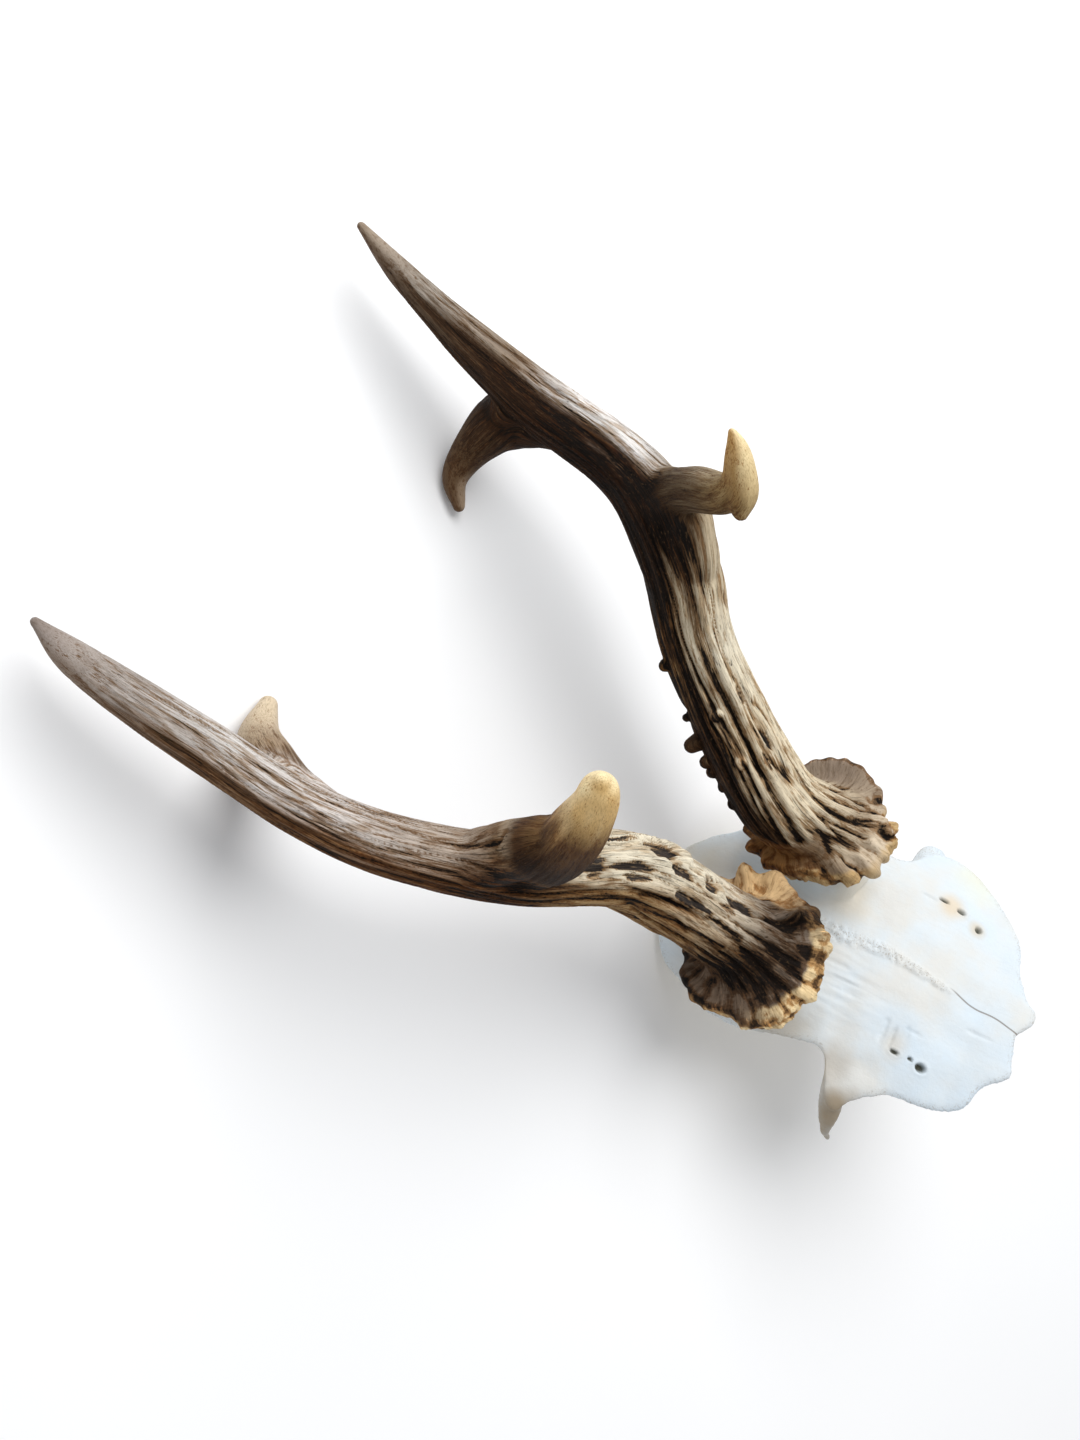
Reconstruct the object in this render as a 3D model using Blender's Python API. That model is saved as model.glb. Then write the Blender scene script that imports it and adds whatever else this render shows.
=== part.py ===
"""Skull cap of a roe buck with both antlers, lying on its rear edge and its rear tines.

The parts are modelled in the skull's own frame, in millimetres: +X to the animal's left, +Y towards the
back of the head, +Z up off the forehead, with the origin midway between the coronets. The parent empty
"rest" then lays the whole thing down, so that the lowest points meet the plane Z = 0.
"""
import math

import bmesh
import bpy
import numpy as np
from mathutils import Matrix, Vector

MM = 0.001
GAP = 0.3                    # saw cut and seam between neighbouring pieces, mm

# How the object lies, as turns of the skull frame
REST_PITCH = math.radians(-37.0)
REST_ROLL = math.radians(0.0)
REST_SHIFT = (0.0, -65.9, 39.5)

# Tubes
TUBE_SIDES = 6               # bevel resolution: 16 sides
BEAM_STEP = 5.5              # spacing of rings along a beam or tine
TIP_RADIUS = 0.8

# Coronets: turned profile (radius as a fraction of the rim, height along the axis in mm)
CORONET_PROFILE = ((0.0, 8.0), (0.50, 8.0), (0.66, 5.0), (0.82, 3.2), (0.96, 2.6),
                   (1.0, 0.4), (0.96, -1.8), (0.84, -3.4), (0.0, -3.4))
CORONET_UNDER = -3.4
CORONET_STEPS = 40
CORONET_LOBES = ((7, 0.035), (11, 0.03))   # waves round the rim: count, depth as a fraction

# Skull plate
PLATE_THICKNESS = 3.2
PLATE_CELL = 4.6
PLATE_WIDTH = 104.0
PLATE_FRONT = -82.0
PLATE_REAR = 42.0
PLATE_BLOCK = 32.0           # depth of the block that the brain case is cut from
MIDLINE = ((-84.0, -14.5), (-72.0, -14.6), (-62.0, -15.6), (-45.0, -12.4), (-30.0, -11.4), (-12.0, -11.8),
           (5.0, -12.4), (20.0, -15.5), (34.0, -20.5), (44.0, -25.0))
CROWN = 0.005                # sideways fall of the forehead, per mm
TEMPLE_START = -25.0         # from here back the sides fall faster, over the brain case
TEMPLE_FULL = 10.0
TEMPLE_CROWN = 0.004
TEMPLE_EDGE = 22.0
TEMPLE_EDGE_FALL = 0.02
CUTTER_HEIGHT = 90.0
FLOOR_SIZE = 400.0
FLOOR_DEPTH = 40.0

# Rim of the cap, seen from above, from the front notch round the left side
RIM = ((-3.0, -73.6), (1.7, -77.0), (5.4, -76.8), (8.4, -73.6), (15.5, -69.4), (22.5, -67.6), (29.5, -64.0),
       (34.2, -58.6), (39.5, -52.0), (42.0, -44.6), (43.0, -39.0), (42.0, -35.0), (38.0, -30.8),
       (33.5, -26.5), (32.8, -21.5), (34.0, -14.0), (35.0, -3.5), (34.5, 5.0), (31.5, 12.0),
       (27.0, 16.0), (20.5, 20.5), (15.5, 26.0), (11.0, 30.5), (5.0, 34.5), (-4.0, 35.0), (-12.0, 33.8), (-21.0, 29.8),
       (-27.5, 24.2), (-31.0, 16.5), (-34.5, 8.0), (-35.3, -3.6), (-34.0, -14.7), (-32.0, -23.0),
       (-33.5, -26.8), (-41.0, -30.5), (-44.5, -33.0), (-45.0, -37.0), (-41.5, -39.5), (-35.6, -46.5),
       (-32.8, -58.8), (-28.8, -67.4), (-21.0, -70.3), (-15.2, -76.2), (-11.2, -75.2), (-6.0, -74.0))

# Postorbital processes: (x, y, z, radius) on the right side, mirrored for the left
PROCESS = ((-37.0, -34.0, -21.0, 5.0), (-42.5, -35.0, -25.0, 4.0), (-46.0, -36.5, -31.0, 2.8),
           (-47.2, -38.0, -37.0, 2.0), (-46.8, -39.0, -43.0, 1.0))

# Nerve holes above the orbits: (x, y, radius)
FORAMINA = ((-24.3, -52.6, 2.2), (-24.3, -44.8, 1.1), (21.6, -53.9, 1.6), (24.0, -47.4, 1.3), (24.6, -41.2, 1.2))

# Pedicles, from inside the plate to the coronet
PEDICLE_FOOT_RADIUS = 14.5
PEDICLE_TOP_RADIUS = 11.5
PEDICLE_FOOT_DEPTH = 19.0

# Each antler: (x, y, z, radius) along its centre line, in mm
ANTLERS = {
    "left": {
        "coronet_centre": (21.6, -0.8, 0.3),
        "coronet_axis": (0.12, 0.30, 0.95),
        "coronet_radius": 20.6,
        "beam": ((21.0, -8.0, -8.0, 12.5), (21.0, -1.5, 0.0, 12.5), (17.5, 16.0, 15.0, 11.2),
                 (28.6, 41.0, 34.5, 10.2), (36.0, 53.5, 46.0, 9.9), (45.5, 63.5, 57.0, 10.4),
                 (55.5, 79.0, 68.0, 9.6), (59.5, 92.0, 73.0, 8.5), (61.5, 115.0, 79.0, 7.8),
                 (64.5, 135.5, 85.5, 6.2), (67.5, 151.0, 91.0, 4.6), (70.0, 164.5, 97.5, 3.3),
                 (73.0, 176.0, 103.5, 1.2)),
        "first_fork": (55.5, 79.0, 68.0),
        "second_fork": (62.5, 123.5, 81.5),
        "front_tine": ((55.5, 75.0, 68.0, 6.0), (50.5, 67.0, 82.5, 8.0), (47.0, 60.0, 93.0, 7.2),
                       (44.2, 53.2, 99.5, 6.0), (47.2, 55.2, 107.0, 4.8), (49.5, 59.0, 112.5, 2.8),
                       (50.0, 60.5, 114.0, 1.2)),
        "rear_tine": ((61.5, 119.5, 78.5, 5.0), (58.4, 126.2, 69.2, 7.8), (52.0, 132.0, 60.0, 5.6),
                      (44.5, 133.0, 55.5, 3.8), (38.8, 128.7, 52.0, 1.8)),
    },
    "right": {
        "coronet_centre": (-20.6, 2.0, -1.0),
        "coronet_axis": (-0.15, 0.25, 0.95),
        "coronet_radius": 20.2,
        "beam": ((-19.0, -5.0, -9.0, 12.0), (-20.3, 2.0, -1.0, 12.0), (-24.5, 18.0, 15.0, 10.6),
                 (-29.5, 34.0, 34.0, 10.5), (-36.0, 44.0, 46.5, 9.6), (-44.5, 54.0, 53.5, 8.9),
                 (-51.5, 62.5, 58.5, 8.4), (-59.0, 75.7, 64.8, 7.8), (-65.0, 93.7, 70.2, 7.2),
                 (-68.0, 113.0, 77.0, 6.4), (-68.0, 132.5, 84.5, 6.0), (-68.5, 149.5, 92.5, 5.4),
                 (-68.0, 166.5, 99.5, 4.1), (-66.0, 177.0, 103.5, 1.2)),
        "first_fork": (-54.5, 67.0, 61.0),
        "second_fork": (-68.2, 120.0, 79.5),
        "front_tine": ((-50.0, 61.0, 58.0, 6.0), (-49.2, 53.2, 76.0, 7.2), (-49.0, 49.5, 92.0, 6.8),
                       (-46.5, 47.5, 104.0, 5.7), (-45.1, 47.4, 110.5, 4.2),
                       (-44.7, 47.4, 113.0, 1.6)),
        "rear_tine": ((-66.5, 112.0, 76.5, 4.5), (-59.5, 126.5, 66.0, 7.6), (-51.5, 135.0, 60.5, 5.6),
                      (-42.2, 138.8, 58.2, 2.6)),
    },
}

# Colour, roughness
BONE = ((0.86, 0.85, 0.80), 0.55)
ANTLER = ((0.33, 0.24, 0.16), 0.6)
TINE = ((0.47, 0.38, 0.28), 0.5)


def clear_scene():
    for thing in list(bpy.data.objects):
        bpy.data.objects.remove(thing, do_unlink=True)


def new_collection(name):
    group = bpy.data.collections.new(name)
    bpy.context.scene.collection.children.link(group)
    return group


def give_material(thing, look):
    colour, roughness = look
    material = bpy.data.materials.new(thing.name)
    material.use_nodes = True
    shader = material.node_tree.nodes["Principled BSDF"]
    shader.inputs["Base Color"].default_value = (*colour, 1.0)
    shader.inputs["Roughness"].default_value = roughness
    shader.inputs["Metallic"].default_value = 0.0
    thing.data.materials.clear()
    thing.data.materials.append(material)


def add_object(name, mesh, group, rest):
    thing = bpy.data.objects.new(name, mesh)
    group.objects.link(thing)
    thing.parent = rest
    return thing


def hide_as_cutter(thing):
    thing.hide_render = True
    thing.display_type = "WIRE"


def combine(thing, other, operation):
    """Add a Boolean to an object, with another one hidden as its cutter."""
    hide_as_cutter(other)
    modifier = thing.modifiers.new(operation.lower(), "BOOLEAN")
    modifier.operation = operation
    modifier.solver = "EXACT"
    modifier.object = other


def smooth_line(points, step):
    """Points about `step` apart on the Catmull-Rom curve through (x, y, z, radius) points."""
    knots = np.array(points, dtype=float)
    ends = np.vstack([2 * knots[0] - knots[1], knots, 2 * knots[-1] - knots[-2]])
    line = []
    for i in range(1, len(ends) - 2):
        before, start, stop, after = ends[i - 1:i + 3]
        count = max(1, round(float(np.linalg.norm(stop[:3] - start[:3])) / step))
        for t in np.arange(count) / count:
            point = 0.5 * (2 * start + (stop - before) * t
                           + (2 * before - 5 * start + 4 * stop - after) * t ** 2
                           + (3 * start - before - 3 * stop + after) * t ** 3)
            line.append(point)
    line.append(knots[-1])
    return np.array(line)


def tube(name, points, group, rest, step=BEAM_STEP, grow=0.0):
    """A tapering tube with closed ends, through points that carry their radius."""
    line = smooth_line(points, step)
    curve = bpy.data.curves.new(name, "CURVE")
    curve.dimensions = "3D"
    curve.bevel_depth = MM
    curve.bevel_resolution = TUBE_SIDES
    curve.use_fill_caps = True
    curve.twist_mode = "MINIMUM"
    spline = curve.splines.new("POLY")
    spline.points.add(len(line) - 1)
    for point, (x, y, z, radius) in zip(spline.points, line):
        point.co = (x * MM, y * MM, z * MM, 1.0)
        point.radius = max(radius, TIP_RADIUS) + grow
    shape = bpy.data.objects.new(name, curve)
    bpy.context.scene.collection.objects.link(shape)
    evaluated = shape.evaluated_get(bpy.context.evaluated_depsgraph_get())
    mesh = bpy.data.meshes.new_from_object(evaluated)
    bpy.data.objects.remove(shape, do_unlink=True)
    work = bmesh.new()
    work.from_mesh(mesh)
    bmesh.ops.remove_doubles(work, verts=work.verts, dist=0.00001)
    bmesh.ops.recalc_face_normals(work, faces=work.faces)
    work.to_mesh(mesh)
    work.free()
    mesh.name = name
    return add_object(name, mesh, group, rest)


def saw(thing, point, normal, offset=0.0):
    """Keep what lies ahead of the plane through `point`, moved `offset` mm along `normal`."""
    direction = Vector(normal).normalized()
    place = (Vector(point) + direction * offset) * MM
    work = bmesh.new()
    work.from_mesh(thing.data)
    geometry = work.verts[:] + work.edges[:] + work.faces[:]
    cut = bmesh.ops.bisect_plane(work, geom=geometry, dist=1e-7, plane_co=place, plane_no=direction,
                                 clear_inner=True)
    rim = [part for part in cut["geom_cut"] if isinstance(part, bmesh.types.BMEdge)]
    bmesh.ops.edgeloop_fill(work, edges=rim)
    bmesh.ops.recalc_face_normals(work, faces=work.faces)
    work.to_mesh(thing.data)
    work.free()


def line_direction(points, place):
    """Direction of the smooth line through `points` where it passes nearest to `place`."""
    line = smooth_line(points, 1.0)[:, :3]
    nearest = int(np.argmin(np.linalg.norm(line - np.array(place), axis=1)))
    return Vector(line[nearest + 1] - line[nearest - 1]).normalized()


def coronet(name, antler, group, rest):
    """Turned disc round the beam's foot, with a waved rim."""
    work = bmesh.new()
    profile = [work.verts.new((r, 0.0, h)) for r, h in CORONET_PROFILE]
    edges = [work.edges.new(pair) for pair in zip(profile, profile[1:])]
    bmesh.ops.spin(work, geom=profile + edges, cent=(0, 0, 0), axis=(0, 0, 1), angle=math.tau,
                   steps=CORONET_STEPS, use_merge=True)
    bmesh.ops.remove_doubles(work, verts=work.verts, dist=0.00001)
    bmesh.ops.recalc_face_normals(work, faces=work.faces)
    rim = antler["coronet_radius"]
    for vert in work.verts:
        angle = math.atan2(vert.co.y, vert.co.x)
        share = math.hypot(vert.co.x, vert.co.y)
        wave = sum(depth * math.sin(count * angle + count) for count, depth in CORONET_LOBES)
        reach = rim * (1.0 + wave * share ** 3)
        vert.co.x *= reach
        vert.co.y *= reach
    turn = Vector((0, 0, 1)).rotation_difference(Vector(antler["coronet_axis"]))
    place = Matrix.Translation(Vector(antler["coronet_centre"])) @ turn.to_matrix().to_4x4()
    work.transform(Matrix.Scale(MM, 4) @ place)
    mesh = bpy.data.meshes.new(name)
    work.to_mesh(mesh)
    work.free()
    return add_object(name, mesh, group, rest)


def build_antler(side, antler, parts, cutters, rest):
    beam = antler["beam"]
    centre, axis = antler["coronet_centre"], Vector(antler["coronet_axis"]).normalized()
    first, second = antler["first_fork"], antler["second_fork"]
    first_way, second_way = line_direction(beam, first), line_direction(beam, second)
    half = GAP / 2

    lower = tube(f"{side}_lower_beam", beam, parts, rest)
    saw(lower, centre, axis, CORONET_UNDER + 1.0)
    saw(lower, first, -first_way, half)
    combine(lower, coronet(f"{side}_coronet", antler, cutters, rest), "UNION")

    upper = tube(f"{side}_upper_beam", beam, parts, rest)
    saw(upper, first, first_way, half)
    saw(upper, second, -second_way, half)

    top = tube(f"{side}_top_tine", beam, parts, rest)
    saw(top, second, second_way, half)

    sheath = tube(f"{side}_beam_sheath", beam, cutters, rest, grow=GAP)
    saw(sheath, centre, axis, CORONET_UNDER + 1.0)
    tines = []
    for tine in ("front_tine", "rear_tine"):
        branch = tube(f"{side}_{tine}", antler[tine], parts, rest, step=BEAM_STEP * 0.8)
        combine(branch, sheath, "DIFFERENCE")
        tines.append(branch)

    for thing, look in ((lower, ANTLER), (upper, ANTLER), (top, TINE), (tines[0], TINE), (tines[1], TINE)):
        give_material(thing, look)


def forehead(x, y):
    """Height of the skull's outer surface, mm."""
    ys, zs = zip(*MIDLINE)
    temple = min(1.0, max(0.0, (y - TEMPLE_START) / (TEMPLE_FULL - TEMPLE_START)))
    temple = temple * temple * (3 - 2 * temple)
    edge = max(0.0, abs(x) - TEMPLE_EDGE)
    fall = CROWN * x * x + temple * (TEMPLE_CROWN * x * x + TEMPLE_EDGE_FALL * edge * edge)
    return float(np.interp(y, ys, zs)) - fall


def rim_cutter(group, rest):
    """Upright prism inside the cap's outline."""
    curve = bpy.data.curves.new("rim_cutter", "CURVE")
    curve.dimensions = "2D"
    curve.fill_mode = "BOTH"
    curve.extrude = CUTTER_HEIGHT / 2 * MM
    spline = curve.splines.new("POLY")
    spline.points.add(len(RIM) - 1)
    spline.use_cyclic_u = True
    for point, (x, y) in zip(spline.points, RIM):
        point.co = (x * MM, y * MM, 0.0, 1.0)
    shape = bpy.data.objects.new("rim_cutter", curve)
    bpy.context.scene.collection.objects.link(shape)
    evaluated = shape.evaluated_get(bpy.context.evaluated_depsgraph_get())
    mesh = bpy.data.meshes.new_from_object(evaluated)
    bpy.data.objects.remove(shape, do_unlink=True)
    work = bmesh.new()
    work.from_mesh(mesh)
    bmesh.ops.remove_doubles(work, verts=work.verts, dist=0.00001)
    bmesh.ops.recalc_face_normals(work, faces=work.faces)
    work.to_mesh(mesh)
    work.free()
    return add_object("rim_cutter", mesh, group, rest)


def pedicle(side, antler, group, rest):
    """Bone post from inside the plate up to just under the coronet."""
    axis = Vector(antler["coronet_axis"]).normalized()
    centre = Vector(antler["coronet_centre"])
    foot = centre - axis * PEDICLE_FOOT_DEPTH
    points = ((*foot, PEDICLE_FOOT_RADIUS), (*((foot + centre) / 2), PEDICLE_TOP_RADIUS + 0.6),
              (*centre, PEDICLE_TOP_RADIUS))
    post = tube(f"{side}_pedicle", points, group, rest)
    saw(post, centre, -axis, GAP - CORONET_UNDER)
    return post


def hole_cutter(number, x, y, radius, group, rest):
    bpy.ops.mesh.primitive_cylinder_add(vertices=12, radius=radius * MM, depth=CUTTER_HEIGHT * MM / 2,
                                        location=(x * MM, y * MM, forehead(x, y) * MM))
    drill = bpy.context.object
    drill.name = f"foramen_{number}"
    for holder in list(drill.users_collection):
        holder.objects.unlink(drill)
    group.objects.link(drill)
    drill.parent = rest
    return drill


def slab(name, drop, depth, group, rest):
    """Block under the forehead's surface moved down by `drop`, `depth` mm thick."""
    across = round(PLATE_WIDTH / PLATE_CELL)
    along = round((PLATE_REAR - PLATE_FRONT) / PLATE_CELL)
    bpy.ops.mesh.primitive_grid_add(x_subdivisions=across, y_subdivisions=along, size=1.0)
    block = bpy.context.object
    block.name = name
    for holder in list(block.users_collection):
        holder.objects.unlink(block)
    group.objects.link(block)
    block.parent = rest
    for vert in block.data.vertices:
        x = vert.co.x * PLATE_WIDTH
        y = (PLATE_FRONT + PLATE_REAR) / 2 + vert.co.y * (PLATE_REAR - PLATE_FRONT)
        vert.co = (x * MM, y * MM, (forehead(x, y) - drop) * MM)
    work = bmesh.new()
    work.from_mesh(block.data)
    under = bmesh.ops.extrude_face_region(work, geom=work.faces[:])
    moved = [part for part in under["geom"] if isinstance(part, bmesh.types.BMVert)]
    bmesh.ops.translate(work, verts=moved, vec=(0.0, 0.0, -depth * MM))
    bmesh.ops.recalc_face_normals(work, faces=work.faces)
    work.to_mesh(block.data)
    work.free()
    return block


def floor_cutter(group):
    """Box whose top is the plane Z = 0: the saw cut that the cap's rear edge lies on."""
    bpy.ops.mesh.primitive_cube_add(size=1.0, location=(0.0, 0.0, -FLOOR_DEPTH / 2 * MM))
    box = bpy.context.object
    box.name = "floor_cutter"
    box.dimensions = (FLOOR_SIZE * MM, FLOOR_SIZE * MM, FLOOR_DEPTH * MM)
    for holder in list(box.users_collection):
        holder.objects.unlink(box)
    group.objects.link(box)
    return box


def build_skull_cap(parts, cutters, rest):
    cap = slab("skull_cap", 0.0, PLATE_BLOCK, parts, rest)
    for side, antler in ANTLERS.items():
        combine(cap, pedicle(side, antler, cutters, rest), "UNION")
    combine(cap, rim_cutter(cutters, rest), "INTERSECT")
    combine(cap, slab("brain_case", PLATE_THICKNESS, 2 * PLATE_BLOCK, cutters, rest), "DIFFERENCE")
    for side in ANTLERS:
        flip = 1 if side == "right" else -1
        points = [(flip * x, y, z, radius) for x, y, z, radius in PROCESS]
        combine(cap, tube(f"{side}_process", points, cutters, rest, step=4.0), "UNION")
    for number, (x, y, radius) in enumerate(FORAMINA, 1):
        combine(cap, hole_cutter(number, x, y, radius, cutters, rest), "DIFFERENCE")
    combine(cap, floor_cutter(cutters), "DIFFERENCE")
    give_material(cap, BONE)


def main():
    clear_scene()
    parts = new_collection("roe_skull_cap_with_antlers")
    cutters = new_collection("cutters")
    rest = bpy.data.objects.new("rest", None)
    bpy.context.scene.collection.objects.link(rest)
    rest.rotation_euler = (REST_PITCH, REST_ROLL, 0.0)
    rest.location = [value * MM for value in REST_SHIFT]
    build_skull_cap(parts, cutters, rest)
    for side, antler in ANTLERS.items():
        build_antler(side, antler, parts, cutters, rest)


main()
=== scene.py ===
"""Looks of a roe buck's skull cap with both antlers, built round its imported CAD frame.

Shapes are made in the skull's own frame in millimetres: +X to the animal's left, +Y towards the back of
the head, +Z up off the forehead, origin midway between the coronets. SKULL_TO_WORLD then lays them down
where the CAD model lies. Each antler is one seamless mesh: tubes, knobs and a ruffled coronet are fused,
then grooves, pits, cords and pleats are cut into the fused surface or raised from it. Every vertex has its
place along and around the branch, so that the materials' streaks run with the grain.
"""

import math

import bpy
import numpy as np
from mathutils import Matrix, Vector


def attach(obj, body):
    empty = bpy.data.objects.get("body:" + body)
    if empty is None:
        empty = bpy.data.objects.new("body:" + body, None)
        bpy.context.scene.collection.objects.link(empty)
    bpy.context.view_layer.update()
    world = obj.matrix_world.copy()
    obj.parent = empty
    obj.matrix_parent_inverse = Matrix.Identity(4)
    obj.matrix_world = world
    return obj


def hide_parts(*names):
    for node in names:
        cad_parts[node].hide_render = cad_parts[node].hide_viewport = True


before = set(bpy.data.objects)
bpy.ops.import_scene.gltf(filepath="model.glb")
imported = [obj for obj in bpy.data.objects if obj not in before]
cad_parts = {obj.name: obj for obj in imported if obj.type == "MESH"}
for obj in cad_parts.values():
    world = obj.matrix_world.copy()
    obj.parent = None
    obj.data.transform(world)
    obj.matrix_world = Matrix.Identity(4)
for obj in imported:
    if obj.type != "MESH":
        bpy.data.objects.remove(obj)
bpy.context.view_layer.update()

MM = 0.001
REST_PITCH = math.radians(-37.0)
REST_SHIFT = Vector((0.0, -65.9, 39.5))
REST_TURN = Matrix.Rotation(REST_PITCH, 4, "X")
SKULL_TO_WORLD = Matrix.Scale(MM, 4) @ Matrix.Translation(REST_SHIFT) @ REST_TURN

# Meshes
ANTLER_VOXEL = 0.52
BONE_VOXEL = 0.51
ROUNDS_EVERYWHERE = 3        # rounds of smoothing on a whole fused mesh
ROUNDS_AT_FORKS = 60         # more rounds where solids meet, so that the joins flow
LINE_STEP = 1.2              # spacing of points along a branch's centre line
TUBE_SIDES = 40
TIP_RADIUS = 0.8
TIP_RINGS = 4                # rings that round off a tube's end
GRAIN_REACH = 10.0           # radius that grain coordinates are wrapped on, mm

# The frame's nodes that each antler replaces, with the side before each name
ANTLER_PARTS = ("lower_beam", "front_tine", "upper_beam", "rear_tine", "top_tine")

# Antlers: (x, y, z, radius) along each centre line, as in the CAD model
ANTLERS = {
    "left": {
        "coronet_centre": (21.6, -0.8, 0.3),
        "coronet_axis": (0.12, 0.3, 0.95),
        "coronet_radius": 19.6,
        "beam": (
            (21, -8, -8, 12.5), (21, -1.5, 0, 12.5), (17.5, 16, 15, 11.2), (28.6, 41, 34.5, 10.2),
            (36, 53.5, 46, 9.9), (45.5, 63.5, 57, 10.4), (55.5, 79, 68, 9.6), (59.5, 92, 73, 8.5),
            (61.5, 115, 79, 7.8), (64.5, 135.5, 85.5, 6.2), (67.5, 151, 91, 4.6),
            (70, 164.5, 97.5, 3.3), (73, 176, 103.5, 1.2),
        ),
        "front_tine": (
            (56, 76, 68, 9.2), (54.2, 73, 75, 7.8), (52.4, 69.8, 81.6, 6.1), (48.5, 64.6, 90, 5.8),
            (44.6, 57, 98, 5), (45.6, 54.8, 103.5, 4.4), (48.6, 57.8, 110.5, 3), (50, 60.5, 114, 1.2),
        ),
        "rear_tine": (
            (61.5, 119.5, 78.5, 5), (58.4, 126.2, 69.2, 7.8), (52, 132, 60, 5.6),
            (44.5, 133, 55.5, 3.8), (38.8, 128.7, 52, 1.8),
        ),
    },
    "right": {
        "coronet_centre": (-20.6, 2, -1),
        "coronet_axis": (-0.15, 0.25, 0.95),
        "coronet_radius": 20,
        "beam": (
            (-19, -5, -9, 12), (-20.3, 2, -1, 12), (-24.5, 18, 15, 10.6), (-29.5, 34, 34, 10.5),
            (-36, 44, 46.5, 9.6), (-44.5, 54, 53.5, 8.9), (-51.5, 62.5, 58.5, 8.4),
            (-59, 75.7, 64.8, 7.8), (-65, 93.7, 70.2, 7.2), (-68, 113, 77, 6.4), (-68, 132.5, 84.5, 6),
            (-68.5, 149.5, 92.5, 5.4), (-68, 166.5, 99.5, 4.1), (-66, 177, 103.5, 1.2),
        ),
        "front_tine": (
            (-50, 61, 58, 6), (-49.2, 53.2, 76, 7.2), (-49, 49.5, 92, 6.8), (-46.5, 47.5, 103, 5.2),
            (-45.3, 47.4, 108.4, 4.5), (-45, 47.4, 110.8, 3.8), (-44.9, 47.4, 112.4, 2.2),
        ),
        "rear_tine": (
            (-66.5, 112, 76.5, 4.5), (-59.5, 126.5, 66, 7.6), (-51.5, 135, 60.5, 5.6),
            (-42.2, 138.8, 58.2, 2.6),
        ),
    },
}

# Coronets: turned profile (share of the rim's radius, height along the axis)
CORONET_PROFILE = (
    (0.5, 13), (0.585, 9.5), (0.68, 6.4), (0.82, 4.2), (0.94, 3.3), (0.99, 2.2), (1, 0.4), (0.96, -1.8),
    (0.84, -3.4),
)
CORONET_UNDER = -3.4         # height of the flat underside
CORONET_SIDES = 200
# Petals of each coronet: (angle from the animal's left, half width in degrees, extra reach, extra height)
PETALS = {
    "left": (
        (8, 40, 1.8, 5.4), (-58, 9, -1.6, 0), (-82, 8, 2.6, 1.8), (-104, 5, 0.8, 0.6),
        (-118, 6, 1.4, 0.2), (-134, 10, 1.4, 0), (-165, 9, -1.4, 0), (112, 7, 3.4, 1),
        (130, 7, 3.8, 0.6), (148, 7, 3, 0.8), (180, 14, -1.4, 0),
    ),
    "right": (
        (148, 25, 2.8, 2), (208, 22, 2.6, 1.2), (-61, 21, 0.3, 2.4), (-104, 9, 0.6, -0.6),
        (-128, 8, 1, 0), (8, 9, 3, 4), (30, 9, 4.6, 5.4), (52, 8, 3.2, 4.2), (76, 9, 1.6, 3),
    ),
}
# Ridges on the coronets: (angle, half width in degrees, share of the radius at the peak, height)
RIDGES = {
    "left": ((-74, 8, 0.84, 2.6), (-106, 7, 0.86, 2), (-138, 8, 0.88, 2.2)),
    "right": ((-38, 10, 0.78, 7.6),),
}
PETAL_CALM = {"left": 0.20, "right": -0.15}     # how much less pleated the broad petals are
FRONT_FOLDS = {"left": 1.35, "right": 0.45}     # extra depth of the pleats at the front
FRONT_ANGLE = -98            # side of each coronet that faces the snout
INNER_ANGLE = {"left": 150, "right": 22}        # side of each coronet that faces the other one
BROAD_PETAL = 20             # wider petals than this have a flat rim and steep ends
BEAD_SIZE = 2.4              # knobs along a coronet's rim, mm

# Webs that fill the forks: (x, y, z, radius) rows of short rods inside the beam and the tine
WEBS = {
    "left": (
        ((43, 62, 54, 8.4), (46.2, 61.8, 62.5, 7.4), (51, 65.8, 72.5, 6.2)),
        ((60.5, 104, 75.5, 6), (59.6, 114, 71.8, 5.2), (57.8, 123, 67.5, 5.4)),
    ),
    "right": (
        ((-59, 74, 64, 7.2), (-53.5, 65, 70, 7.4), (-50, 56, 80, 6.6)),
        ((-66.5, 102, 73, 5.8), (-62.5, 117, 68, 6.3), (-57, 127.5, 64.5, 6)),
    ),
}
# Heels: the angular back of a tine's hooked end
HEELS = {
    "left": (
        (
            (38.5, 50.2, 99, 1), (40.8, 51.6, 100.4, 3), (43.8, 53, 103.6, 3.9), (47.2, 56.2, 109.2, 3),
            (49.6, 59.8, 114, 1.2),
        ),
    ),
    "right": (),
}

# Pearls: (x, y, z, radius) of the tip of each knob on the beams
PEARLS = {
    "left": (
        (25.2, 58.6, 40.6, 1.5), (19.2, 47.6, 30.8, 1.4), (13.9, 43.2, 25.8, 1.5),
        (13, 37.6, 22.8, 1.3), (12, 34.8, 20.8, 1.3), (10.4, 30.4, 18.4, 1.2), (8.6, 26, 14.8, 1.3),
        (18.5, 38.8, 40.8, 1.5), (12.4, 27.8, 32.6, 1.3),
    ),
    "right": ((-19.4, 30.2, 37.4, 1.7), (-23.6, 17, 28.6, 1.5)),
}
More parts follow.
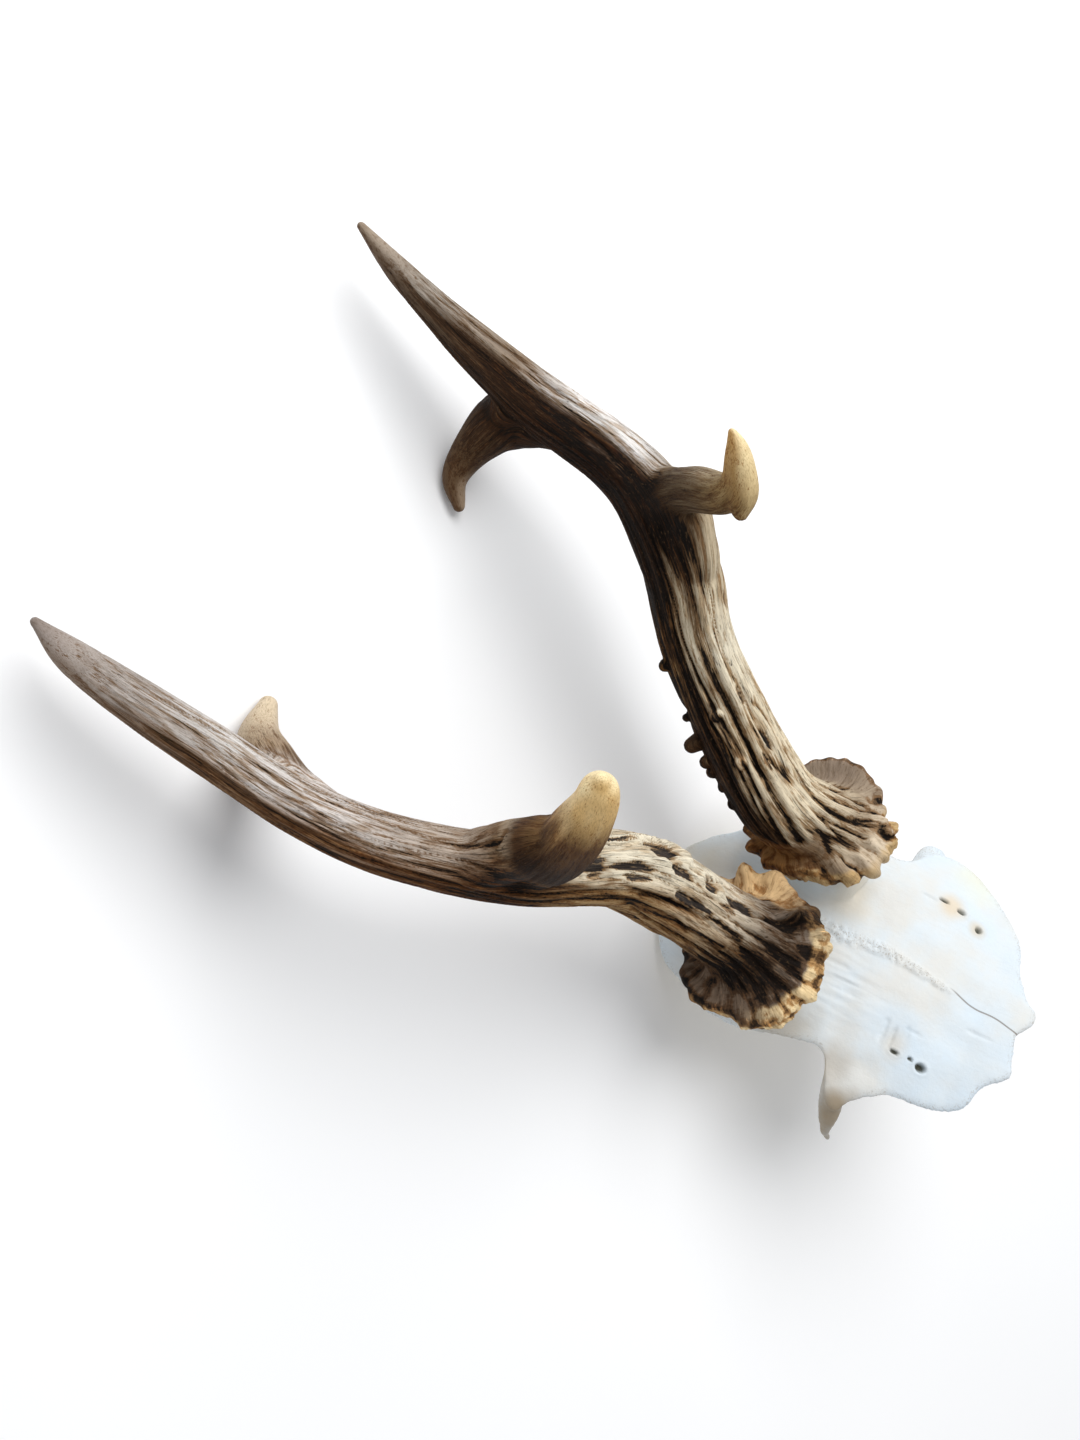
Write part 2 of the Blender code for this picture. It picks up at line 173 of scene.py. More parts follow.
# Pits: (x, y, z, half length, half width, depth, height of the lip) of the dark hollows on the beams
PITS = {
    "left": (
        (27, 36, 41.5, 3, 0.5, 0.5, 0), (22.4, 25.5, 34, 3.6, 0.7, 0.7, 0.1),
        (17.6, 22, 31.5, 2.8, 0.6, 0.6, 0),
    ),
    "right": (
        (-25.9, 35, 46.8, 6.8, 2.6, 1.7, 1.2), (-41.7, 46.7, 59.5, 3.3, 3.2, 0.9, 0.3),
        (-35.6, 38.3, 54.1, 5, 1.4, 0.9, 0.1), (-36.8, 36.2, 51.9, 4.6, 0.9, 0.7, 0),
        (-31.1, 24.1, 38, 6.2, 1.3, 0.8, 0.1), (-22.6, 20.3, 32.1, 3.4, 1.8, 1.2, 0.5),
        (-20.2, 11.4, 21.9, 6.6, 1.3, 1, 0.1), (-26.9, 28.3, 42.4, 4.6, 1.6, 0.7, 0.1),
        (-31.6, 44, 55, 6, 0.6, 0.5, 0), (-29.3, 19.8, 33.2, 4.6, 0.8, 0.6, 0),
        (-24, 14, 26, 4, 0.7, 0.6, 0),
    ),
}
# Furrows: (half width, depth, points) of the long dark channels that run down the beams
FURROWS = {
    "left": ((0.9, 1.1, ((30, 49.5, 52), (28.2, 46, 49.7), (24.8, 40.2, 44.6), (18.7, 29.2, 35.8),
                         (12.7, 17.5, 26.9), (8.7, 4.3, 14.7))),
             (0.6, 0.8, ((20, 35.8, 37.5), (15.6, 28.6, 32.5), (10.6, 18.6, 24), (6.2, 7, 13))),
             (0.35, 0.4, ((28.4, 37.2, 44), (26.6, 33.2, 41.2), (23.6, 28.2, 37.4), (21.6, 24.4, 33.6)))),
    "right": ((0.8, 0.9, ((-46.2, 46.7, 58.7), (-41.7, 40.2, 54.4), (-38.1, 33.7, 47.7),
                          (-32.4, 23.2, 35.8), (-28.6, 14.8, 26.7), (-27.2, 7.7, 18.9))),
              (0.6, 0.6, ((-41.5, 36.6, 47.5), (-38.2, 29.6, 38.6), (-34, 19, 27.6), (-31.5, 11, 19.5)))),
}

# Skull cap: (y, z) along the midline of its outer surface, then (x, y) round its outline
MIDLINE = (
    (-84, -14.5), (-72, -14.6), (-62, -15.6), (-45, -12.4), (-30, -11.4), (-12, -11.8), (5, -12.4),
    (20, -15.5), (34, -20.5), (44, -25),
)
RIM = (
    (-3, -73.6), (1.7, -77), (5.4, -76.8), (8.4, -73.6), (15.5, -69.4), (22.5, -67.6), (29.5, -64),
    (34.2, -58.6), (39.5, -52), (42, -44.6), (43, -39), (42, -35), (38, -30.8), (33.5, -26.5),
    (32.8, -21.5), (34, -14), (35, -3.5), (34.5, 5), (31.5, 12), (27, 16), (20.5, 20.5), (15.5, 26),
    (11, 30.5), (5, 34.5), (-4, 35), (-12, 33.8), (-21, 29.8), (-27.5, 24.2), (-31, 16.5), (-34.5, 8),
    (-35.3, -3.6), (-34, -14.7), (-32, -23), (-33.5, -26.8), (-41, -30.5), (-44.5, -33), (-45, -37),
    (-41.5, -39.5), (-35.6, -46.5), (-32.8, -58.8), (-28.8, -67.4), (-21, -70.3), (-15.2, -76.2),
    (-11.2, -75.2), (-6, -74),
)
RIM_CENTRE = (0, -24)
PLATE_THICKNESS = 3.2
# Postorbital processes: (x, y, z, radius) on the right side, mirrored for the left
PROCESS = (
    (-30.5, -32, -21.5, 3), (-36, -33.5, -23.2, 3.6), (-41.5, -35, -25.8, 3.8),
    (-45.8, -36.5, -31, 2.3), (-47.6, -37.8, -35.8, 1.2), (-47, -39.8, -42.6, 0.3),
)
LEFT_PROCESS_DROP = 1.5      # the animal's left process lies a little lower and is stouter
LEFT_PROCESS_GIRTH = 1.25
# Nerve holes: (x, y, half length, half width, depth)
FORAMINA = (
    (-24.3, -52.8, 1.6, 1.2, 2), (-23.6, -49.2, 0.8, 0.6, 0.8), (-24, -44.4, 1.4, 0.6, 1),
    (22, -53.9, 1.1, 1, 1.2), (24.6, -47.4, 1.4, 0.8, 1.2), (25.4, -41.6, 1.7, 0.6, 0.9),
)
# Scratched hollows beside the nerve holes: (x, y, half length, half width, depth)
SCRAPES = (
    (-19.6, -39.4, 1, 4.4, 0.5), (-21, -42.2, 0.9, 4, 0.6), (-18.4, -45.6, 0.8, 2.8, 0.35),
    (-16.6, -47.2, 3, 0.6, 0.25), (-8, -64, 5, 0.6, 0.3), (24, -37, 3, 0.7, 0.4),
    (-9, -20.5, 5, 0.7, 0.3), (-15.5, -26, 5.5, 0.7, 0.3), (-12.6, -24.2, 4.5, 0.6, 0.25),
)
# Broad dents: (x, y, radius, depth)
DENTS = (
    (-34.5, -31, 4.6, 1.2), (-31.6, -38.4, 4, 0.9), (-27, -30, 5, 0.5), (34, -31, 4.6, 1),
    (12, -30, 9, 0.5), (-12, -56, 9, 0.4), (16, -62, 7, 0.4),
)
SUTURE_REACH = (-10, -53)       # where along y the raised grainy seam between the two frontal bones runs
CRACK_START = -52               # y where the seam opens to a crack towards the snout
# Stains on the bone: (x, y, radius, amount, colour); the first row, at the tip of the right process, is
# partly painted shade
STAINS_AND_SHADE = (
    (-45, -36.5, 6.5, 0.95, (150, 134, 110)), (-36, -29, 7, 0.45, (168, 154, 134)),
    (12, -16, 8, 0.45, (214, 200, 172)), (-30, -14, 9, 0.55, (176, 160, 134)),
    (-6, -8, 8, 0.4, (212, 198, 170)), (39, -50, 8, 0.45, (226, 226, 200)),
    (22, -53.4, 2.6, 0.5, (206, 180, 130)), (24.8, -44.6, 4.2, 0.55, (220, 190, 140)),
    (-22, -44, 4, 0.35, (206, 182, 144)), (0, 30, 14, 0.35, (214, 200, 170)),
)
PEDICLE_FOOT_RADIUS = 14.5
PEDICLE_TOP_RADIUS = 11.5
PEDICLE_FOOT_DEPTH = 17

# Camera, in the skull frame
CAMERA_PLACE = (-160.9, 10.6, 374.2)
CAMERA_RIGHT = (0.462, -0.886, 0.032)
CAMERA_DOWN = (-0.783, -0.425, -0.455)
CAMERA_LENS = 35
CAMERA_SENSOR = 36

# Light and floor, in metres and watts
KEY_PLACE = (0.42, 0.24, 0.82)
KEY_TARGET = (0.0, 0.0, 0.04)
KEY_SIZE = 0.9
KEY_POWER = 8.6
SKY_COLOUR = (0.95, 0.97, 1.0, 1.0)
SKY_STRENGTH = 0.54
FLOOR_HALF = 3.0

# Colours, sRGB 0 to 255
INK = (24, 17, 12)
BARK = (44, 31, 20)
OLIVE = (60, 47, 32)
UMBER = (100, 77, 52)
CHARCOAL = (66, 62, 60)
TAN = (158, 136, 106)
CREAM = (230, 216, 188)
IVORY = (240, 231, 208)
# near-white painted sheen, laid on the lit side of the left upper beam
SHEEN_WHITE = (250, 247, 244)
OCHRE = (190, 148, 90)
HONEY = (214, 178, 118)
BUTTER = (246, 227, 180)
# dark grey painted into the nerve holes as the shade inside them
HOLE_SHADE = (74, 74, 62)

# Scene-linear colours: factors across the fibres and the bone's cloudy white, as (place on a ramp, colour)
PALE_FIBRE = ((0.30, (0.58, 0.52, 0.45)), (0.48, (0.94, 0.92, 0.90)), (0.70, (1.12, 1.12, 1.13)))
DARK_FIBRE = ((0.34, (0.35, 0.32, 0.30)), (0.50, (0.8, 0.75, 0.7)), (0.75, (2.4, 2.0, 1.6)))
BLEACHED = ((0.34, (0.69, 0.69, 0.66)), (0.50, (0.67, 0.725, 0.755)), (0.66, (0.64, 0.73, 0.80)))
INSIDE = (0.72, 0.67, 0.56)
RUST = (0.62, 0.42, 0.24)
WEATHERED = (0.66, 0.50, 0.34)
FLECKED = (2.3, 1.95, 1.5)

# Tones along each branch: (mm from its root, colour of the lit side, of the shaded side and of grooves,
# share covered by the groove colour on the lit side and on the shaded side). The side colours are part the
# antler's own pale rubbed and dark barked faces, and part painted light and painted shade
TONES = {
    "left_beam": (
        (0, (150, 130, 108), (84, 64, 44), INK, 0.35, 0.65), (30, CREAM, (70, 52, 34), INK, 0.22, 0.98),
        (60, CREAM, (80, 60, 40), INK, 0.16, 0.95), (82, IVORY, (116, 96, 68), INK, 0.1, 0.72),
        (99, (216, 202, 174), (84, 64, 42), INK, 0.2, 0.7),
        (112, (178, 158, 128), (62, 44, 27), INK, 0.32, 0.74),
        # from here on, the left upper beam's lit side is a near-white painted sheen
        (126, (150, 132, 108), (54, 36, 21), INK, 0.42, 0.78), (136, SHEEN_WHITE, (58, 38, 21), INK, 0, 0.72),
        (156, SHEEN_WHITE, (66, 45, 26), INK, 0.12, 0.7),
        (176, (160, 142, 122), (72, 52, 34), BARK, 0.35, 0.62),
        (202, (184, 174, 162), (96, 78, 60), BARK, 0.3, 0.5),
        (230, (152, 136, 118), (112, 94, 76), OLIVE, 0.2, 0.35),
    ),
    "left_front_tine": (
        (0, (92, 74, 54), (56, 41, 27), INK, 0.45, 0.7),
        (14, (150, 134, 110), (92, 76, 56), BARK, 0.3, 0.48),
        (30, (180, 164, 138), (112, 94, 70), BARK, 0.18, 0.38),
        (42, (192, 168, 122), (140, 112, 70), UMBER, 0.1, 0.3),
        (58, BUTTER, (190, 150, 92), OCHRE, 0, 0.1),
    ),
    "left_rear_tine": (
        (0, (104, 76, 44), (70, 47, 25), INK, 0.45, 0.65),
        (20, (128, 104, 76), (88, 66, 44), BARK, 0.35, 0.55),
        (41, (152, 132, 110), (98, 76, 54), UMBER, 0.2, 0.4),
    ),
    "right_beam": (
        (0, (74, 64, 58), (54, 44, 35), INK, 0.5, 0.7),
        (20, (128, 114, 100), (76, 62, 48), INK, 0.45, 0.65),
        (36, (230, 218, 196), (136, 110, 76), INK, 0.22, 0.48),
        (45, IVORY, (166, 134, 92), INK, 0.12, 0.38), (90, IVORY, (172, 142, 100), INK, 0.1, 0.38),
        (106, (132, 108, 82), (106, 74, 44), INK, 0.5, 0.62),
        (126, (196, 182, 168), (118, 84, 52), BARK, 0.42, 0.58),
        (150, (228, 220, 214), (132, 98, 64), BARK, 0.36, 0.54),
        (180, (230, 226, 222), (150, 120, 90), BARK, 0.32, 0.46),
        (210, (190, 180, 172), (152, 132, 114), UMBER, 0.2, 0.3),
        (230, (140, 128, 120), (122, 108, 96), UMBER, 0.1, 0.2),
    ),
    "right_front_tine": (
        (0, (82, 60, 40), (62, 44, 28), INK, 0.5, 0.6),
        (24, (92, 64, 38), (60, 41, 24), BARK, 0.25, 0.4),
        (39, (190, 150, 98), (106, 74, 42), UMBER, 0.1, 0.2), (49, BUTTER, HONEY, OCHRE, 0, 0),
        (58, BUTTER, HONEY, OCHRE, 0, 0),
    ),
    "right_rear_tine": (
        (0, (112, 86, 62), (90, 66, 44), BARK, 0.5, 0.6),
        (20, (172, 150, 124), (132, 110, 86), BARK, 0.3, 0.5),
        (42, (217, 200, 172), (182, 160, 132), UMBER, 0.1, 0.2),
    ),
}
# Direction that the pale, lit side of each beam faces. Its colours hold painted light as well as real pale
# tone,
# and the far side holds painted shade: (mm along the beam, x, y, z, how much narrower it is)
PALE_AND_LIT_WAYS = {
    "left": (
        (0, 0.39, -0.37, 0.85, 0), (95, 0.5, -0.38, 0.78, 0), (128, 0.8, -0.42, 0.42, 0.15),
        (175, 0.8, -0.42, 0.42, 0.12), (230, 0.6, -0.42, 0.65, -0.1),
    ),
    "right": (
        (0, 0.72, 0.3, 0.62, 0.1), (35, 0.5, 0.18, 0.85, 0), (110, 0.55, 0.18, 0.81, 0),
        (230, 0.5, 0.18, 0.84, 0),
    ),
}
# Tone round each coronet: (angle, half width in degrees, upper face, share covered by the groove colour)
CORONET_TONES = {
    "left": (
        (8, 48, (140, 124, 108), 0.16), (-92, 46, (214, 198, 174), 0.16), (150, 50, (128, 92, 52), 0.3),
    ),
    "right": (
        (170, 66, (104, 88, 74), 0.5), (-82, 44, (122, 110, 100), 0.52),
        (18, 44, (216, 182, 134), 0.06), (-42, 13, (66, 56, 50), 0.6),
    ),
}
# Porous ochre edge that shows round each coronet: (angle, half width in degrees, share of the radius)
CORONET_EDGES = {
    "left": ((-146, 34, 0.93), (-80, 30, 0.96)),
    "right": ((-100, 50, 0.78), (-150, 60, 0.98)),
}
CORONET_UNDERSIDE = {"left": (200, 170, 122), "right": (240, 214, 166)}

# ---------------------------------------------------------------- numbers

def smoothstep(low, high, value):
    t = np.clip((value - low) / (high - low), 0.0, 1.0)
    return t * t * (3.0 - 2.0 * t)


def bell(offset, width):
    """1 where the offset is 0, falling away over `width` on each side."""
    return np.exp(-(offset / width) ** 2)


def turn_from(angle, middle):
    """Signed turn from `middle` to each angle, all in radians."""
    return np.angle(np.exp(1j * (angle - middle)))


def gap_to(points, places):
    """Distance from each point to the nearest of a few places."""
    return np.linalg.norm(points[:, None] - np.array(places)[None], axis=2).min(axis=1)


def mixed(first, second, share):
    """Between `first` and `second`, by one share a row."""
    return first + (second - first) * (share if np.ndim(first) == 1 else share[:, None])


def linear(colour):
    """Scene-linear colour of sRGB values from 0 to 255."""
    share = np.asarray(colour, dtype=float) / 255.0
    return np.where(share <= 0.04045, share / 12.92, ((share + 0.055) / 1.055) ** 2.4)


def unit(vector):
    vector = np.asarray(vector, dtype=float)
    return vector / np.linalg.norm(vector, axis=-1, keepdims=True)


class Noise:
    """Repeatable gradient noise, about -1 to 1, at the rows of an N by 3 array."""
    CELLS = 256

    def __init__(self, seed):
        random = np.random.default_rng(seed)
        self.order = np.tile(random.permutation(self.CELLS), 3)
        self.slopes = unit(random.normal(size=(self.CELLS, 3))) * 1.5

    def __call__(self, points):
        cell = np.floor(points).astype(int)
        part = points - cell
        blend = part ** 3 * (part * (part * 6.0 - 15.0) + 10.0)
        cell %= self.CELLS
        total = np.zeros(len(points))
        for i in (0, 1):
            for j in (0, 1):
                for k in (0, 1):
                    corner = self.order[cell[:, 0] + i]
                    corner = self.order[corner + cell[:, 1] + j]
                    corner = self.order[corner + cell[:, 2] + k]
                    slope = (self.slopes[corner] * (part - (i, j, k))).sum(axis=1)
                    weight = (np.abs(1 - i - blend[:, 0]) * np.abs(1 - j - blend[:, 1])
                              * np.abs(1 - k - blend[:, 2]))
                    total += slope * weight
        return total


def smooth_line(points, step):
    """Points about `step` apart on the Catmull-Rom curve through the given rows."""
    knots = np.array(points, dtype=float)
    ends = np.vstack([2 * knots[0] - knots[1], knots, 2 * knots[-1] - knots[-2]])
    line = []
    for i in range(1, len(ends) - 2):
        before, start, stop, after = ends[i - 1:i + 3]
        count = max(1, round(float(np.linalg.norm(stop[:3] - start[:3])) / step))
        for t in np.arange(count) / count:
            line.append(0.5 * (2 * start + (stop - before) * t
                               + (2 * before - 5 * start + 4 * stop - after) * t ** 2
                               + (3 * start - before - 3 * stop + after) * t ** 3))
    line.append(knots[-1])
    return np.array(line)


class Branch:
    """A tapering rod along a smooth line, with a frame that doesn't twist round it."""
    BLOCK = 4000             # points located at a time, to spare memory

    def __init__(self, rows):
        line = smooth_line(rows, LINE_STEP)
        self.centre = line[:, :3]
        self.radius = np.maximum(line[:, 3], TIP_RADIUS)
        steps = np.linalg.norm(np.diff(self.centre, axis=0), axis=1)
        self.along = np.concatenate([[0.0], np.cumsum(steps)])
        self.length = self.along[-1]
        self.way = unit(np.gradient(self.centre, self.along, axis=0))
        side = np.cross(self.way[0], (1.0, 0.0, 0.0))
        sides = []
        for way in self.way:
            side = unit(side - way * (side @ way))
            sides.append(side)
        self.side = np.array(sides)
        self.other = np.cross(self.way, self.side)

    def at(self, rows, along):
        return np.stack([np.interp(along, self.along, column) for column in rows.T], axis=1)

    def locate(self, points):
        """Arc length, angle, distance from the line and local radius at each point."""
        nearest = np.empty(len(points), dtype=int)
        for start in range(0, len(points), self.BLOCK):
            block = points[start:start + self.BLOCK]
            gaps = ((block[:, None, :] - self.centre[None]) ** 2).sum(axis=2)
            nearest[start:start + self.BLOCK] = gaps.argmin(axis=1)
        slide = ((points - self.centre[nearest]) * self.way[nearest]).sum(axis=1)
        along = np.clip(self.along[nearest] + slide, 0.0, self.length)
        out = points - self.at(self.centre, along)
        across, up = ((out * self.at(rows, along)).sum(axis=1) for rows in (self.side, self.other))
        radius = np.interp(along, self.along, self.radius)
        return along, np.arctan2(up, across), np.hypot(across, up), radius


# ---------------------------------------------------------------- meshes

def closed_loft(rings):
    """Vertices and faces of a lofted tube: rings of equal count, each end closed by a fan."""
    count = len(rings[0])
    verts = [vert for ring in rings for vert in ring]
    faces = []
    for row in range(len(rings) - 1):
        for i in range(count):
            j = (i + 1) % count
            a, b = row * count, (row + 1) * count
            faces.append((a + i, a + j, b + j, b + i))
    for ring, order in ((0, -1), (len(rings) - 1, 1)):
        centre = np.mean(rings[ring], axis=0)
        verts.append(centre)
        hub = len(verts) - 1
        start = ring * count
        for i in range(count):
            pair = (start + i, start + (i + 1) % count)[::order]
            faces.append((hub, *pair))
    return np.array(verts), faces


def tube(branch):
    """A branch's rod, with a rounded end."""
    turn = np.linspace(0.0, math.tau, TUBE_SIDES, endpoint=False)[:, None]

    def ring(i, centre, shrink=1.0):
        circle = np.cos(turn) * branch.side[i] + np.sin(turn) * branch.other[i]
        return centre + circle * branch.radius[i] * shrink

    rings = [ring(i, centre) for i, centre in enumerate(branch.centre)]
    for share in np.sin(np.linspace(0.0, math.pi / 2, TIP_RINGS + 1))[1:]:
        shrink = math.sqrt(max(0.0, 1.0 - share * share)) + 0.02
        rings.append(ring(-1, branch.centre[-1] + branch.way[-1] * branch.radius[-1] * share, shrink))
    return closed_loft(rings)


def make_mesh(name, parts):
    verts, faces, shift = [], [], 0
    for part_verts, part_faces in parts:
        verts.extend(part_verts.tolist())
        faces.extend(tuple(index + shift for index in face) for face in part_faces)
        shift = len(verts)
    mesh = bpy.data.meshes.new(name)
    mesh.from_pydata(verts, [], faces)
    mesh.update()
    return mesh


def vectors(items, field):
    flat = np.empty(len(items) * 3)
    items.foreach_get(field, flat)
    return flat.reshape(-1, 3)


def coordinates(mesh):
    return vectors(mesh.vertices, "co")


def set_coordinates(mesh, points):
    mesh.vertices.foreach_set("co", np.asarray(points, dtype=np.float32).ravel())
    mesh.update()


def add_object(name, data):
    thing = bpy.data.objects.new(name, data)
    bpy.context.scene.collection.objects.link(thing)
    return thing


def fuse(name, parts, voxel, smoothing):
    """One closed mesh from overlapping solids; smoothing(points) says how much each place is rounded."""
    thing = add_object(name, make_mesh(name, parts))
    remesh = thing.modifiers.new("remesh", "REMESH")
    remesh.mode = "VOXEL"
    remesh.voxel_size = voxel
    apply_modifiers(thing)
    weights = smoothing(coordinates(thing.data))
    group = thing.vertex_groups.new(name="round")
    for index in np.nonzero(weights > 0.01)[0]:
        group.add([int(index)], float(weights[index]), "REPLACE")
    for rounds, mask in ((ROUNDS_EVERYWHERE, ""), (ROUNDS_AT_FORKS, "round")):
        soften = thing.modifiers.new("soften", "SMOOTH")
        soften.factor = 0.5
        soften.iterations = rounds
        soften.vertex_group = mask
    apply_modifiers(thing)
    thing.vertex_groups.clear()
    return thing


def apply_modifiers(thing):
    bpy.context.view_layer.update()
    evaluated = thing.evaluated_get(bpy.context.evaluated_depsgraph_get())
    mesh = bpy.data.meshes.new_from_object(evaluated)
    old = thing.data
    thing.modifiers.clear()
    thing.data = mesh
    bpy.data.meshes.remove(old)


def add_layers(mesh, layers):
    """Keep a value, vector or colour at each vertex, for the materials to read."""
    for name, rows in layers.items():
        kind, field = ("FLOAT", "value") if rows.ndim == 1 else ("FLOAT_VECTOR", "vector")
        if name.endswith("colour"):
            kind, field = "FLOAT_COLOR", "color"
            rows = np.concatenate([rows, np.ones((len(rows), 1))], axis=1)
        layer = mesh.attributes.new(name, kind, "POINT")
        layer.data.foreach_set(field, rows.astype(np.float32).ravel())


def finish_piece(thing, nodes, material):
    """Lay a piece down, shade it, hang it from the root body and hide the frame's nodes that it stands
    for.
    """
    mesh = thing.data
    points = coordinates(mesh)
    turned = points @ np.array(SKULL_TO_WORLD.to_3x3()).T + np.array(SKULL_TO_WORLD.to_translation())
    turned[:, 2] = np.maximum(turned[:, 2], 0.0)
    set_coordinates(mesh, turned)
    mesh.polygons.foreach_set("use_smooth", [True] * len(mesh.polygons))
    mesh.materials.clear()
    mesh.materials.append(material)
    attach(thing, "root")
    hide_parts(*nodes)


# ---------------------------------------------------------------- antlers

def coronet_frame(antler):
    axis = unit(antler["coronet_axis"])
    turn = Vector((0.0, 0.0, 1.0)).rotation_difference(Vector(axis)).to_matrix()
    return np.array(turn), np.array(antler["coronet_centre"])


def nearness(angle, middle, width, power=2):
    """1 at `middle` degrees, falling away over `width` degrees; `angle` is in radians."""
    gap = np.degrees(turn_from(angle, math.radians(middle)))
    return np.exp(-np.abs(gap / width) ** power)


def petal_sum(side, angle, column):
    """Extra reach (column 2) or height (column 3) of the coronet's rim at each angle."""
    total = np.zeros_like(angle)
    for petal in PETALS[side]:
        total += petal[column] * nearness(angle, *petal[:2], 4 if petal[1] > BROAD_PETAL else 2)
    return total


def coronet(side, antler, beam):
    """The burr; its top leans over to meet the beam."""
    angle = np.linspace(0.0, math.tau, CORONET_SIDES, endpoint=False)
    turn, centre = coronet_frame(antler)
    axis = turn[:, 2]
    beam_heights = (beam.centre - centre) @ axis
    profile = smooth_line([(share, height, 0.0) for share, height in CORONET_PROFILE], 0.6)
    circle = np.stack([np.cos(angle), np.sin(angle), np.zeros_like(angle)], axis=1)
    beads = Noise(3)(circle * antler["coronet_radius"] / BEAD_SIZE)
    rings = []
    for share, height, _ in profile:
        share = min(share, 1.0)
        reach = antler["coronet_radius"] * share + petal_sum(side, angle, 2) * share ** 4
        reach += 0.9 * beads * share ** 8
        lift = petal_sum(side, angle, 3) * smoothstep(0.62, 0.98, share) + 0.5 * beads * share ** 8
        for middle, width, peak, rise in RIDGES[side]:
            lift += rise * nearness(angle, middle, width) * bell(share - peak, 0.15)
        ring = np.stack([np.cos(angle) * reach, np.sin(angle) * reach, height + lift], axis=1)
        on_beam = [np.interp(height, beam_heights, column) for column in beam.centre.T]
        lean = on_beam - centre - axis * height
        rings.append(ring @ turn.T + centre + lean * smoothstep(3.0, 12.0, height))
    return closed_loft(rings)


def flat_foot(verts, antler):
    """Press what lies under the coronet up to its underside."""
    axis = unit(antler["coronet_axis"])
    height = (verts - antler["coronet_centre"]) @ axis
    short = np.maximum(0.0, CORONET_UNDER + 1.0 - height)
    return verts + short[:, None] * axis


def pearl(beam, x, y, z, radius):
    """A small blunt horn from inside the beam out to its tip."""
    tip = np.array([x, y, z])
    nearest = int(np.argmin(np.linalg.norm(beam.centre - tip, axis=1)))
    way = unit(tip - beam.centre[nearest])
    root = beam.centre[nearest] + way * beam.radius[nearest] * 0.55
    waist, end = root + (tip - root) * 0.55, tip - way * radius
    return tube(Branch([(*root, radius * 2.1), (*waist, radius * 1.35), (*end, radius)]))


class Lay:
    """Where each vertex of an antler lies: on which branch, how far along, at what angle."""
    FLARE = 1.15             # how far the grain turns outwards where the mesh leaves the beam's own rod
    TINE_SHIFT = 80.0        # keeps the grain of one tine apart from that of the other, mm

    def __init__(self, side, antler, branches, points):
        self.beam, tines = branches[0], branches[1:]
        self.points = points
        self.along, self.angle, distance, radius = self.beam.locate(points)
        self.flow = self.along - self.FLARE * np.maximum(0.0, distance - radius)
        found = [tine.locate(points) for tine in tines]
        near = np.stack([gap - size for _, _, gap, size in found]).argmin(axis=0)
        self.tine = near
        self.tine_along, self.tine_angle, tine_gap, tine_size = (
            np.choose(near, [row[item] for row in found]) for item in range(4))
        lengths = np.array([tine.length for tine in tines])
        self.tine_left = lengths[near] - self.tine_along
        outside = (distance - radius) - np.maximum(0.0, tine_gap - tine_size)
        self.on_tine = smoothstep(0.5, 9.0, outside)
        self.left = np.where(self.on_tine > 0.5, self.tine_left, self.beam.length - self.along)
        self.beam_reach = self.wrap(distance, self.beam.length - self.along)
        self.tine_reach = self.wrap(tine_gap, self.tine_left)
        turn, centre = coronet_frame(antler)
        local = (points - centre) @ turn
        self.rim_angle = np.arctan2(local[:, 1], local[:, 0])
        rim = antler["coronet_radius"] + petal_sum(side, self.rim_angle, 2)
        self.rim_share = np.hypot(local[:, 0], local[:, 1]) / rim
        self.rim_height = local[:, 2]
        self.inner_side = nearness(self.rim_angle, INNER_ANGLE[side], 42.0)
        broad = [petal[:2] for petal in PETALS[side] if petal[1] > BROAD_PETAL]
        self.broad_petal = np.max([nearness(self.rim_angle, *petal, 4) for petal in broad], axis=0)

    def wrap(self, radius, left):
        """Radius that the grain is wrapped on: the real one at the tips, so as not to be pinched."""
        return GRAIN_REACH + (radius - GRAIN_REACH) * smoothstep(24.0, 3.0, left)

    def radial(self):
        """Direction from the beam's centre line out to each point."""
        side, other = (self.beam.at(rows, self.along) for rows in (self.beam.side, self.beam.other))
        return np.cos(self.angle)[:, None] * side + np.sin(self.angle)[:, None] * other

    def beam_grain(self):
        return self.grain(self.flow, self.angle, self.beam_reach)

    def tine_grain(self):
        along = self.tine_along + self.TINE_SHIFT * (1 + self.tine)
        return self.grain(along, self.tine_angle, self.tine_reach)

    def grain(self, along, angle, reach):
        """Coordinates that run along the branch and wrap round it."""
        return np.stack([along, np.cos(angle) * reach, np.sin(angle) * reach], axis=1)

    def noise(self, seed, length, width, warp=0.0):
        """Noise that runs with the grain, in cells `length` mm long and `width` mm wide."""
        scale = np.array([1.0 / length, 1.0 / width, 1.0 / width])
        noise = Noise(seed)
        beam, tine = (noise(grain * scale + warp) for grain in (self.beam_grain(), self.tine_grain()))
        return mixed(beam, tine, self.on_tine)


def tone_rows(name, along):
    """Lit-side, shaded-side and groove colours along a branch, and the groove colour's share on each side;
    the side colours hold painted light and painted shade as well as real tone.
    """
    rows = TONES[name]
    places = [row[0] for row in rows]
    colours = []
    for item in (1, 2, 3):
        table = linear([row[item] for row in rows])
        colours.append(np.stack([np.interp(along, places, column) for column in table.T], axis=1))
    shares = [np.interp(along, places, [row[item] for row in rows]) for item in (4, 5)]
    return colours, shares


